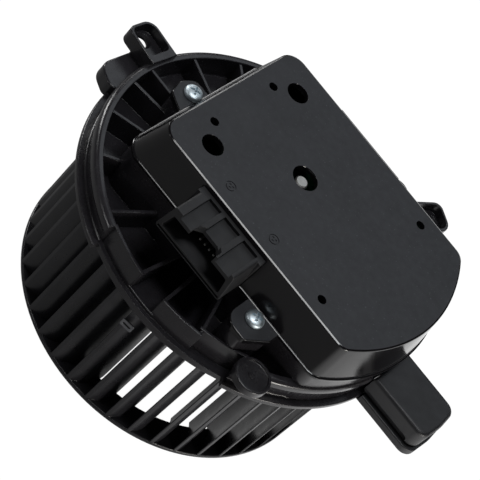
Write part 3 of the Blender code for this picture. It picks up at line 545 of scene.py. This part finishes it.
def cover_finish():
    """Charcoal plastic: fine spark-eroded top with pale dust specks, glossy side walls painted
    darker than the top as shade.
    """
    finish = Finish("cover_charcoal", 0.4)
    tree = finish.tree
    facing = tree.nodes.new("ShaderNodeSeparateXYZ")
    geometry = tree.nodes.new("ShaderNodeNewGeometry")
    finish.link(geometry.outputs["Normal"], facing.inputs["Vector"])
    # This facing mask sets the matte top against the glossy walls, and also gives the walls their
    # painted shade.
    flat = finish.ranged(facing.outputs["Z"], 0.0, 1.0, 0.965, 0.995)
    specks = finish.ranged(finish.noise(0.9, 1.0), 0.0, 1.0, 0.70, 0.76)
    cloud = finish.ranged(finish.noise(22.0, 3.0), 0.0, 1.0)
    top = tree.nodes.new("ShaderNodeMix")
    top.data_type = "RGBA"
    top.inputs["B"].default_value = (0.050, 0.053, 0.059, 1.0)
    finish.link(finish.mixed(cloud, (0.0110, 0.0118, 0.0148), (0.0160, 0.0168, 0.0205)),
                top.inputs["A"])
    finish.link(specks, top.inputs["Factor"])
    # Side walls take a darker base colour than the top, by their facing: painted shade.
    base_with_painted_wall_shade = tree.nodes.new("ShaderNodeMix")
    base_with_painted_wall_shade.data_type = "RGBA"
    base_with_painted_wall_shade.inputs["A"].default_value = (0.0050, 0.0046, 0.0053, 1.0)
    finish.link(top.outputs["Result"], base_with_painted_wall_shade.inputs["B"])
    finish.link(flat, base_with_painted_wall_shade.inputs["Factor"])
    finish.link(base_with_painted_wall_shade.outputs["Result"], finish.shader.inputs["Base Color"])
    gloss = tree.nodes.new("ShaderNodeMix")
    gloss.data_type = "FLOAT"
    finish.link(flat, gloss.inputs["Factor"])
    finish.link(finish.ranged(finish.noise(9.0, 3.0), 0.12, 0.21), gloss.inputs["A"])
    finish.link(finish.ranged(finish.noise(3.0, 4.0), 0.44, 0.58), gloss.inputs["B"])
    finish.roughness(gloss.outputs["Result"])
    finish.relief(finish.noise(0.5, 2.0), 0.012, 0.4, 0.12)
    return finish.material


def metal(name, colour, rough_low, rough_high, stretch=None, grain_mm=1.2, depth_mm=0.01):
    """Bare or plated metal with a directional or even grain."""
    finish = Finish(name, rough_low, 1.0)
    finish.colour(finish.ranged(finish.noise(4.0, 3.0), 0.0, 1.0), scaled(colour, 0.82), colour)
    finish.roughness(finish.ranged(finish.noise(2.0, 4.0, stretch), rough_low, rough_high))
    finish.relief(finish.noise(grain_mm, 3.0, stretch), depth_mm, 0.5)
    return finish.material


def layered(name, colour, sheet_mm, depth_mm=0.06):
    """Stack of thin sheets, seen as fine level lines."""
    finish = Finish(name, 0.45, 0.9)
    wave = finish.tree.nodes.new("ShaderNodeTexWave")
    wave.bands_direction = "Z"
    wave.inputs["Scale"].default_value = 1000.0 / sheet_mm / 20.0
    finish.link(finish.place, wave.inputs["Vector"])
    finish.colour(wave.outputs["Fac"], scaled(colour, 0.45), colour)
    finish.relief(wave.outputs["Fac"], depth_mm)
    return finish.material


def enamelled_wire():
    """Packed turns of enamelled copper wire round each tooth, with painted shade darkening the
    grooves between turns.
    """
    finish = Finish("enamelled_wire", 0.28, 0.85)
    wave = finish.tree.nodes.new("ShaderNodeTexWave")
    wave.wave_type = "RINGS"
    wave.rings_direction = "Z"
    wave.inputs["Scale"].default_value = 80.0
    finish.link(finish.place, wave.inputs["Vector"])
    # The colour follows the relief: painted shade in the grooves between turns.
    finish.colour(wave.outputs["Fac"], (0.22, 0.06, 0.02), (0.62, 0.24, 0.09))
    finish.relief(wave.outputs["Fac"], 0.15)
    return finish.material


def lacquered_board():
    """Green lacquer over faintly raised tracks."""
    finish = Finish("lacquered_board", 0.3)
    cells = finish.tree.nodes.new("ShaderNodeTexVoronoi")
    cells.distance = "MANHATTAN"
    cells.feature = "DISTANCE_TO_EDGE"
    cells.inputs["Scale"].default_value = 260.0
    finish.link(finish.place, cells.inputs["Vector"])
    track = finish.ranged(cells.outputs["Distance"], 0.0, 1.0, 0.04, 0.09)
    finish.colour(track, (0.02, 0.16, 0.07), (0.01, 0.08, 0.035))
    finish.relief(track, 0.03)
    return finish.material


def make_finishes():
    finishes = {
        "satin_plastic": moulded("satin_black", (0.0160, 0.0150, 0.0175), 0.20, 0.31),
        "wheel_plastic": moulded("wheel_black", (0.018, 0.0178, 0.0208), 0.25, 0.35),
        "matte_plastic": moulded("matte_black", (0.0062, 0.0062, 0.0076), 0.50, 0.63,
                                 depth_mm=0.03),
        "duct_plastic": moulded("duct_black", (0.0088, 0.0088, 0.0106), 0.42, 0.55),
        "chip_plastic": moulded("chip_epoxy", (0.02, 0.02, 0.02), 0.5, 0.65),
        "nylon": moulded("white_nylon", (0.74, 0.73, 0.69), 0.42, 0.55, edge_mm=0.0),
        "cover_plastic": cover_finish(),
        "cast_aluminium": metal("cast_aluminium_skin", (0.55, 0.56, 0.58), 0.38, 0.55,
                                grain_mm=0.8, depth_mm=0.05),
        "steel": metal("ground_steel_skin", (0.52, 0.515, 0.49), 0.38, 0.5, (1.0, 1.0, 6.0)),
        "zinc": metal("zinc_plating", (0.66, 0.75, 0.80), 0.42, 0.52, depth_mm=0.004),
        # Darker copy of the zinc plating, for the clip that sits under the lip: painted shade.
        "clip_zinc_painted_shade": metal("zinc_darkened_as_shade", (0.24, 0.245, 0.26), 0.42, 0.56),
        "brass": metal("turned_brass", (0.70, 0.52, 0.22), 0.24, 0.38, (1.0, 1.0, 5.0)),
        "copper": enamelled_wire(),
        "tin": metal("tinned_contact", (0.72, 0.71, 0.68), 0.25, 0.4),
        "lamination_steel": layered("stacked_sheet", (0.30, 0.31, 0.33), 0.5),
        "ferrite": moulded("sintered_ferrite", (0.045, 0.045, 0.05), 0.6, 0.78, 0.5, 0.04, 0.0),
        "board": lacquered_board(),
        "can": metal("capacitor_sleeve", (0.35, 0.37, 0.40), 0.3, 0.42),
    }
    return finishes


# --- fan wheel ------------------------------------------------------------------------

def blade_outline(tip_angle, steps=10):
    """Cross-section of one forward-curved blade, thick in its middle."""
    bow = math.radians(BLADE_TURN)
    stretch = (WHEEL_R - BLADE_INNER_R) / (BLADE_BOW * math.sin(bow))
    sides = ([], [])
    for step in range(steps + 1):
        turn = bow * step / steps
        radial = BLADE_BOW * math.sin(turn) * stretch
        back = BLADE_BOW * (math.cos(turn) - math.cos(bow))
        half = BLADE_WALL / 2.0 * (1.0 - BLADE_THINNING * abs(2.0 * step / steps - 1.0))
        for side, sign in zip(sides, (1.0, -1.0)):
            radius = BLADE_INNER_R + radial + sign * half * math.sin(turn)
            across = back + sign * half * math.cos(turn)
            angle = tip_angle + math.degrees(across / radius)
            side.append(polar(min(radius, WHEEL_R), angle))
    return sides[0] + list(reversed(sides[1]))


def make_wheel(finishes):
    """Inlet ring, blades and a dish-shaped hub, in one mesh for two nodes of the frame."""
    bore = BUSH_R + GAP
    hub = revolved(rounded([
        (WHEEL_R, BACK_HIGH, 0.6), (WHEEL_R, BACK_LOW, 0.6), *HUB_OVER, (bore, HUB_LOW, 0.5),
        (bore, BORE_HIGH, 0.5), *HUB_UNDER], 5), RING_STEPS)
    inlet = revolved(rounded([
        (WHEEL_R, INLET_HIGH, 0.7), (WHEEL_R, INLET_LOW, 0.9), (INLET_INNER_R, INLET_LOW, 1.1),
        (INLET_INNER_R, INLET_HIGH, 0.7)], 5), RING_STEPS)
    blades = []
    for number in range(BLADES):
        outline = blade_outline(BLADE_PHASE + 360.0 / BLADES * number)
        blades.append(slab([outline], INLET_HIGH - BLADE_BITE, BACK_LOW + BLADE_BITE, 0.0))
    wheel = united(hub, inlet, *blades)
    place(wheel, "fan_wheel_body", "wheel", "satin_plastic", finishes["wheel_plastic"],
          "fan_wheel", "fan_hub", angle=40.0)


def make_balance_clip(finishes):
    """Folded spring clip pushed over the edge of one blade."""
    plate = slab([rectangle(-2.9, 2.9, -2.0, 2.0, 0.7), rectangle(-1.9, 1.9, -0.5, 0.5, 0.3)],
                 -0.4, 0.4, 0.15)
    plate.rotation_euler = (math.radians(90.0), 0.0, math.radians(CLIP_ANGLE + 90.0 + CLIP_TILT))
    plate.location = (*polar(WHEEL_R + 1.0, CLIP_ANGLE), CLIP_HEIGHT)
    # The clip takes the darker zinc copy: painted shade.
    place(plate, "balance_clip_plate", "wheel", "zinc", finishes["clip_zinc_painted_shade"],
          "balance_clip")


# --- flange ---------------------------------------------------------------------------

def rib_start(angle):
    """Distance from the axis to the middle of the tray wall along a rib."""
    ray = Vector(polar(200.0, angle))
    wall = [Vector(spot) for spot in d_outline(**BASE_D, inset=1.3)]
    for index, end in enumerate(wall):
        hit = intersect_line_line_2d(Vector((0.0, 0.0)), ray, wall[index - 1], end)
        if hit:
            return hit.length
    return RIM_INNER_R


def mounting_ear(angle):
    """Boxed ear with a dished through hole, and the cutters that hollow it."""
    foot = rectangle(79.0, 87.0, -7.2, 7.2, 0.8)
    web = rectangle(79.0, 90.8, 3.5, 7.4, 0.4)
    hole = polar(MOUNT_HOLE_FROM_AXIS, angle)
    plates = ((rounded(MOUNT_BOX), MOUNT_LOW, MOUNT_HIGH, 0.5), (foot, 0.2, 8.0, 0.3),
              (web, -2.0, 7.3, 0.3), (rounded(MOUNT_LOBE), -LIP_THICK, 5.0, 0.8))
    bodies = [spun(slab([outline], low, high, edge), angle) for outline, low, high, edge in plates]
    cutters = [spun(slab([rounded(MOUNT_POCKET)], MOUNT_SEAT, 20.0, 0.0), angle),
               drum(MOUNT_HOLE_R, 4.0, 12.0, hole),
               revolved_at([(0.0, 10.0), (MOUNT_DISH_R, 10.0), (MOUNT_HOLE_R, 7.9), (0.0, 7.9)],
                           hole)]
    return bodies, cutters


def flange_ring():
    """Lip, recessed foot and rolled top band, with the floor inside."""
    under = -LIP_THICK
    profile = rounded([
        (RIM_INNER_R, RIM_HIGH, 0.5), (BAND_R, RIM_HIGH, 2.2), (BAND_R, 7.4, 1.2),
        (RIM_FOOT_R, 4.6, 1.5), (RIM_FOOT_R, 0.2, 0.9), (LIP_R, 0.0, 0.7), (LIP_R, under, 0.5),
        (FLOOR_HOLE_R, under, 0.4), (FLOOR_HOLE_R, FLOOR_HIGH, 0.4),
        (RIM_INNER_R, FLOOR_HIGH, 0.8)], 5)
    ring = revolved(profile, 240)
    clear = slab([sector_outline(70.0, BEYOND_R, FRONT_START, FRONT_END)], 0.1, 20.0, 0.0)
    trim = slab([sector_outline(FRONT_LIP_R, BEYOND_R, FRONT_START + 1.0, FRONT_END - 1.0)],
                -9.0, 1.0, 0.0)
    return carved(ring, clear, trim)


def front_walls():
    """Thin upright walls of the stretch in front of the connector, and the sill between."""
    root = FLOOR_HIGH - 0.5
    walls = []
    for radius, start, end in FRONT_WALLS:
        outline = sector_outline(radius - FRONT_WALL, radius, start, end)
        walls.append(slab([outline], root, RIM_HIGH, 0.3))
    (sill_r, _, sill_start), (_, sill_end, _) = FRONT_WALLS[:2]
    sill = sector_outline(sill_r - FRONT_WALL, sill_r - 0.1, sill_start - 1.0, sill_end + 1.0)
    walls.append(slab([sill], root, FRONT_SILL_HIGH, 0.3))
    return walls


def make_flange(finishes):
    root = FLOOR_HIGH - 0.5
    wall_line = dict(BASE_D, radius=81.1)
    bodies = [slab([d_outline(**wall_line, inset=0.3), d_outline(**wall_line, inset=2.3)], root,
                   COVER_BASE - GAP, 0.3)]
    for angles, reach in ((RIB_ANGLES, RIM_INNER_R + 0.5), (FRONT_RIB_ANGLES, RIM_INNER_R - 0.2)):
        for angle in angles:
            rib = block(rib_start(angle), reach, -RIB_WALL / 2.0, RIB_WALL / 2.0, root, RIB_HIGH,
                        0.3)
            bodies.append(spun(rib, angle))
    bodies += front_walls()
    for outline in ear_outlines(1.0):
        bodies.append(slab([outline], root, EAR_LOW - GAP, 0.3))
    cutters = [drum(2.0, 6.0, EAR_LOW + 1.0, spot) for spot in EAR_SPOTS]
    for angle in MOUNT_ANGLES:
        ear, hollows = mounting_ear(angle)
        bodies += ear
        cutters += hollows
    bodies.append(drum(LUG_R, LUG_LOW, RIM_HIGH, LUG_SPOT, 0.6))
    dish_low = RIM_HIGH - LUG_DISH_DEEP
    dish = revolved_at(rounded([
        (0.0, RIM_HIGH + 2.0, 0.0), (LUG_DISH_R + 0.3, RIM_HIGH + 2.0, 0.0),
        (LUG_DISH_R, dish_low, 0.4), (0.0, dish_low, 0.0)], 3), LUG_SPOT)
    mark = slab([sector_outline(1.3, 2.1, 150.0, 300.0)], RIM_HIGH - 2.0, RIM_HIGH - 0.2, 0.2)
    mark.location = (*LUG_SPOT, 0.0)
    cutters.append(carved(dish, mark))
    cutters.append(block(74.0, 90.0, -10.5, 10.5, 1.0, DUCT_HIGH - 2.6))
    for angle in VENT_ANGLES:
        cutters.append(drum(VENT_R, -4.0, 1.0, polar(VENT_FROM_AXIS, angle)))
    flange = carved(united(flange_ring(), *bodies), *cutters)
    place(flange, "flange_body", "housing", "satin_plastic", finishes["satin_plastic"],
          "mounting_flange")


# --- electronics cover ----------------------------------------------------------------

def cover_shell():
    """Tapered cap with a thin brim at its base and a softened chamfer round its crown."""
    sections = [(d_outline(**BASE_D, inset=inset), COVER_BASE + rise) for inset, rise in BRIM]
    sections += [(d_outline(**TOP_D, inset=inset), COVER_HIGH - drop) for inset, drop in CROWN]
    hollow = [(d_outline(**BASE_D, inset=COVER_WALL), COVER_BASE - 1.0),
              (d_outline(**BASE_D, inset=COVER_WALL), COVER_BASE),
              (d_outline(**TOP_D, inset=COVER_WALL), COVER_HIGH - 2.4)]
    return loft(sections), loft(hollow)


def ear_outlines(inset=0.0):
    """Outlines of the three screw ears, drawn over the cover's wall."""
    back = [(x + inset * (x < -53.0), y - math.copysign(inset, y) * (abs(y) > 1.0), radius)
            for x, y, radius in BACK_EAR]
    side = [(x - math.copysign(inset, x - 34.0), y + inset * (y < -50.0), radius)
            for x, y, radius in SIDE_EAR]
    mirrored = [(x, -y, radius) for x, y, radius in reversed(side)]
    return [rounded(corners) for corners in (back, side, mirrored)]


def make_cover(finishes):
    shell, hollow = cover_shell()
    bodies = [slab([outline], EAR_LOW, EAR_HIGH, 0.5) for outline in ear_outlines()]
    low, high = COVER_HIGH - 9.0, COVER_HIGH + 5.0
    window_half = COLLAR_HALF + GAP
    cutters = [hollow, slab([d_outline(**BASE_D)], EAR_LOW - 1.0, COVER_BASE, 0.0),
               block(SOCKET_X - window_half, SOCKET_X + window_half, -60.0, SOCKET_BACK + 7.0,
                     COVER_BASE - 4.0, SOCKET_HIGH - GAP)]
    for radius, spots, flare in ((CENTRE_HOLE_R, ((0.0, 0.0),), 0.2),
                                 (WINDOW_R, WINDOW_SPOTS, 0.15), (PINHOLE_R, PINHOLE_SPOTS, 0.1)):
        for spot in spots:
            cutters.append(revolved_at([(0.0, high), (radius + flare, high),
                                        (radius + flare, COVER_HIGH),
                                        (radius + 0.1, COVER_HIGH - flare),
                                        (radius, COVER_HIGH - flare - 0.2), (radius, low),
                                        (0.0, low)], spot))
    for spot in MARK_SPOTS:
        ring = [circle(MARK_R, 32, spot), circle(MARK_R - MARK_LINE, 32, spot)]
        cutters.append(slab(ring, COVER_HIGH - MARK_DEEP, high, 0.0))
        for turn in (30.0, 150.0, 270.0):
            dx, dy = polar(1.0, turn)
            cutters.append(drum(0.5, COVER_HIGH - MARK_DEEP, high, (spot[0] + dx, spot[1] + dy),
                                steps=12))
    for spot in EAR_SPOTS:
        cutters.append(drum(2.3, EAR_LOW - 1.0, EAR_HIGH + 1.0, spot))
    cover = carved(united(shell, *bodies), *cutters)
    clip = block(-15.9, 22.3, 45.9, 47.6, COVER_HIGH - 4.0, COVER_HIGH - 0.8, 0.25)
    cover = united(cover, clip)
    place(cover, "cover_shell", "housing", "cover_plastic", finishes["cover_plastic"],
          "electronics_cover")


def phillips_screw(spot, head_low, tip, head_r, head_high, shank_r):
    """Pan head with a cross recess, over a threaded shank."""
    top = head_low + head_high
    profile = [(0.0, top)]
    for step in range(1, 9):
        turn = math.radians(90.0 * step / 8)
        profile.append((head_r * math.sin(turn), head_low + 0.5
                        + (head_high - 0.5) * math.cos(turn) ** 0.8))
    profile += [(head_r, head_low), (shank_r, head_low)]
    pitch = 1.1
    height = head_low - 0.4
    while height - pitch > tip + shank_r:
        profile += [(shank_r, height), (shank_r - 0.25, height - pitch / 2.0)]
        height -= pitch
    profile += [(shank_r * 0.7, tip + shank_r * 0.6), (0.0, tip)]
    screw = revolved_at(profile, spot)
    half, deep = head_r * 0.13, head_high * 0.6
    arms = []
    for turn in (25.0, 115.0):
        arm = block(-head_r * 0.55, head_r * 0.55, -half, half, top - deep, top + 1.0)
        arm.location = (*spot, 0.0)
        arms.append(spun(arm, turn))
    cone = revolved_at([(0.0, top + 1.0), (head_r * 0.34, top + 1.0), (head_r * 0.1, top - deep),
                        (0.0, top - deep - 0.2)], spot, 16)
    return carved(screw, *arms, cone)


def make_screws(finishes):
    for number, spot in enumerate(EAR_SPOTS, 1):
        screw = phillips_screw(spot, EAR_HIGH + GAP, SCREW_TIP, **SCREW)
        place(screw, f"cover_screw_head_{number}", "housing", "zinc", finishes["zinc"],
              f"cover_screw_{number}")


# --- connector ------------------------------------------------------------------------

def socket_section(half_low, half_high, low, high, radius):
    return rounded([(SOCKET_X - half_low, low, radius), (SOCKET_X + half_low, low, radius),
                    (SOCKET_X + half_high, high, radius), (SOCKET_X - half_high, high, radius)])


def make_connector(finishes):
    """Socket with a barred roof, a double lip below its mouth and a collar behind."""
    roof = SOCKET_HIGH - ROOF_DROP
    above = SOCKET_HIGH + 2.0
    front = SOCKET_FRONT - 1.0
    wall_line = SOCKET_BACK - 3.5
    shell = along_y([socket_section(SOCKET_HALF_LOW, SOCKET_HALF_HIGH, SOCKET_LOW,
                                    SOCKET_HIGH, 1.2)], SOCKET_FRONT, wall_line)
    collar = rectangle(SOCKET_X - COLLAR_HALF, SOCKET_X + COLLAR_HALF, COVER_BASE + 0.4,
                       SOCKET_HIGH - 0.6, 0.4)
    shell = united(shell, along_y([collar], wall_line - 0.2, SOCKET_BACK + 0.6))
    mouth = socket_section(SOCKET_HALF_LOW - SOCKET_WALL, SOCKET_HALF_HIGH - SOCKET_WALL + 0.3,
                           SOCKET_LOW + SOCKET_WALL + 0.4, roof - 1.8, 1.0)
    cutters = [along_y([mouth], front, wall_line - 0.5, 0.0),
               block(SOCKET_X - SOCKET_HALF_LOW + 1.0, SOCKET_X + SOCKET_HALF_LOW - 1.0, front,
                     SOCKET_FRONT + 1.2, SOCKET_LOW + 0.7, SOCKET_LOW + 1.7)]
    for x_low, x_high in ROOF_PANELS:
        cutters.append(block(x_low, x_high, front, SOCKET_BACK - 1.6, roof, above))
    notch = [(LATCH_NOTCH[0], front), (LATCH_NOTCH[1], front),
             (LATCH_NOTCH[1], SOCKET_FRONT + 3.4), (LATCH_NOTCH[1] - 3.0, SOCKET_FRONT + 6.2),
             (LATCH_NOTCH[0] + 3.0, SOCKET_FRONT + 6.2), (LATCH_NOTCH[0], SOCKET_FRONT + 3.4)]
    cutters.append(slab([notch], roof - 3.0, above, 0.0))
    for spots, half in ((SIGNAL_SPOTS, PIN_SLOT_HALF), (POWER_SPOTS, POWER_SLOT_HALF)):
        for x in spots:
            cutters.append(block(x - half, x + half, wall_line - 10.0, wall_line + 10.0,
                                 PIN_HEIGHT - PIN_SLOT_HALF, PIN_HEIGHT + PIN_SLOT_HALF))
    shell = carved(shell, *cutters)
    place(shell, "socket_body", "housing", "matte_plastic", finishes["matte_plastic"],
          "connector_housing")


# --- cooling duct ---------------------------------------------------------------------

def blunt_outline(end, half, corner):
    """Outline of the duct, its far end slightly bowed."""
    shoulder = end - 1.0
    return rounded([(DUCT_START, -half, 0.0), (shoulder, -half, corner), (end, 0.0, 30.0),
                    (shoulder, half, corner), (DUCT_START, half, 0.0)], 8)


def make_duct(finishes):
    half = DUCT_HALF
    shell = slab([blunt_outline(DUCT_END - DUCT_BRIM, half, 5.0)], DUCT_SPLIT, DUCT_HIGH, 1.9, 6)
    hollow = rectangle(DUCT_START - 2.0, DUCT_END - 4.6, DUCT_WALL - half, half - DUCT_WALL, 3.0)
    grooves = []
    for side in (-1.0, 1.0):
        faces = sorted((side * (half - 1.4), side * (half + 4.0)))
        grooves.append(block(DUCT_START - 9.0, DUCT_END - 7.0, *faces, -6.0, 4.3, 1.2))
    shell = carved(shell, slab([hollow], DUCT_SPLIT - 1.0, DUCT_HIGH - DUCT_WALL, 0.0), *grooves)
    place(shell, "duct_upper_shell", "housing", "matte_plastic", finishes["duct_plastic"],
          "duct_cover")
    tray = slab([blunt_outline(DUCT_END, half + DUCT_BRIM, 5.5)], DUCT_LOW, DUCT_SPLIT - GAP,
                0.6, 3)
    intake = block(DUCT_END - 25.0, DUCT_END - 6.0, 3.0 - half, half - 3.0, DUCT_LOW - 1.0, 0.0)
    tray = carved(tray, slab([hollow], DUCT_LOW + DUCT_WALL, DUCT_SPLIT + 1.0, 0.0), intake,
                  drum(LIP_R + 0.6, -LIP_THICK - GAP, 1.0, steps=180))
    place(tray, "duct_lower_tray", "housing", "matte_plastic", finishes["duct_plastic"],
          "duct_tray")


# --- carried-over pieces --------------------------------------------------------------

def finish_rest(finishes):
    """Give every piece that keeps its frame mesh the finish of its slot."""
    slots = {part["node"]: part["material_slot"] for part in frame["record"]["subparts"]}
    for name, obj in frame["nodes"].items():
        obj.data.materials.clear()
        obj.data.materials.append(finishes[slots[name]])


# --- studio ---------------------------------------------------------------------------

def make_floor():
    """Floor that the camera sees as white, while the object sees a dark one with a glow.

    The glow grows towards the duct, to give the glossy sides the shading they should show.
    """
    bm = bmesh.new()
    bmesh.ops.create_grid(bm, x_segments=1, y_segments=1, size=FLOOR_SIZE)
    mesh = bpy.data.meshes.new("floor")
    bm.to_mesh(mesh)
    bm.free()
    floor = bpy.data.objects.new("floor", mesh)
    floor.location.z = -FLOOR_DROP
    bpy.context.scene.collection.objects.link(floor)
    material = bpy.data.materials.new("pale_floor")
    material.use_nodes = True
    tree = material.node_tree
    shader = tree.nodes["Principled BSDF"]
    shader.inputs["Base Color"].default_value = (*FLOOR_ALBEDO, 1.0)
    shader.inputs["Roughness"].default_value = 0.9
    shader.inputs["Emission Color"].default_value = (*NEUTRAL, 1.0)
    place_on = tree.nodes.new("ShaderNodeTexCoord")
    across = tree.nodes.new("ShaderNodeVectorMath")
    across.operation = "DOT_PRODUCT"
    across.inputs[1].default_value = GLOW_ACROSS
    tree.links.new(place_on.outputs["Object"], across.inputs[0])
    shine = tree.nodes.new("ShaderNodeMapRange")
    for socket, value in (("From Min", GLOW_START), ("From Max", GLOW_END),
                          ("To Min", GLOW_LOW), ("To Max", GLOW_HIGH)):
        shine.inputs[socket].default_value = value
    tree.links.new(across.outputs["Value"], shine.inputs["Value"])
    path = tree.nodes.new("ShaderNodeLightPath")
    glow = tree.nodes.new("ShaderNodeMapRange")
    glow.inputs["To Max"].default_value = SEEN_LEVEL
    tree.links.new(path.outputs["Is Camera Ray"], glow.inputs["Value"])
    tree.links.new(shine.outputs["Result"], glow.inputs["To Min"])
    tree.links.new(glow.outputs["Result"], shader.inputs["Emission Strength"])
    mesh.materials.append(material)


def area_light(name, spot, size, power, colour):
    light = bpy.data.lights.new(name, "AREA")
    light.shape = "RECTANGLE"
    light.size, light.size_y = size
    light.energy = power
    light.color = colour
    obj = bpy.data.objects.new(name, light)
    obj.location = spot
    direction = Vector(LIGHT_TARGET) - Vector(spot)
    obj.rotation_euler = direction.to_track_quat("-Z", "Y").to_euler()
    bpy.context.scene.collection.objects.link(obj)


def make_studio():
    """World that looks white but barely lights the object, the lights and the floor."""
    world = bpy.data.worlds.new("studio")
    world.use_nodes = True
    tree = world.node_tree
    background = tree.nodes["Background"]
    background.inputs["Color"].default_value = (*NEUTRAL, 1.0)
    path = tree.nodes.new("ShaderNodeLightPath")
    level = tree.nodes.new("ShaderNodeMapRange")
    level.inputs["To Min"].default_value = WORLD_LEVEL
    level.inputs["To Max"].default_value = SEEN_LEVEL
    tree.links.new(path.outputs["Is Camera Ray"], level.inputs["Value"])
    tree.links.new(level.outputs["Result"], background.inputs["Strength"])
    bpy.context.scene.world = world
    bpy.context.scene.view_settings.view_transform = "Standard"
    for light in LIGHTS:
        area_light(*light)
    make_floor()


def make_camera():
    """Camera at the fixed viewing angle set by the constants above. Camera at the
    viewing angle that the views are compared from.
    """
    azimuth = math.radians(CAMERA_AZIMUTH)
    elevation = math.radians(CAMERA_ELEVATION)
    roll = math.radians(CAMERA_ROLL)
    back = Vector((math.sin(azimuth) * math.cos(elevation),
                   -math.cos(azimuth) * math.cos(elevation), math.sin(elevation)))
    level = Vector((math.cos(azimuth), math.sin(azimuth), 0.0))
    upright = back.cross(level)
    right = math.cos(roll) * level + math.sin(roll) * upright
    up = -math.sin(roll) * level + math.cos(roll) * upright
    spot = back * CAMERA_DISTANCE - right * CAMERA_SHIFT[0] - up * CAMERA_SHIFT[1]
    data = bpy.data.cameras.new("camera")
    data.sensor_width = 36.0
    data.lens = CAMERA_LENS
    camera = bpy.data.objects.new("camera", data)
    turn = Matrix((right, up, back)).transposed().to_4x4()
    camera.matrix_world = Matrix.Translation(FAN + spot * MM) @ turn
    bpy.context.scene.collection.objects.link(camera)
    bpy.context.scene.camera = camera


make_camera()
make_studio()
FINISHES = make_finishes()
finish_rest(FINISHES)
make_wheel(FINISHES)
make_balance_clip(FINISHES)
make_flange(FINISHES)
make_cover(FINISHES)
make_screws(FINISHES)
make_connector(FINISHES)
make_duct(FINISHES)
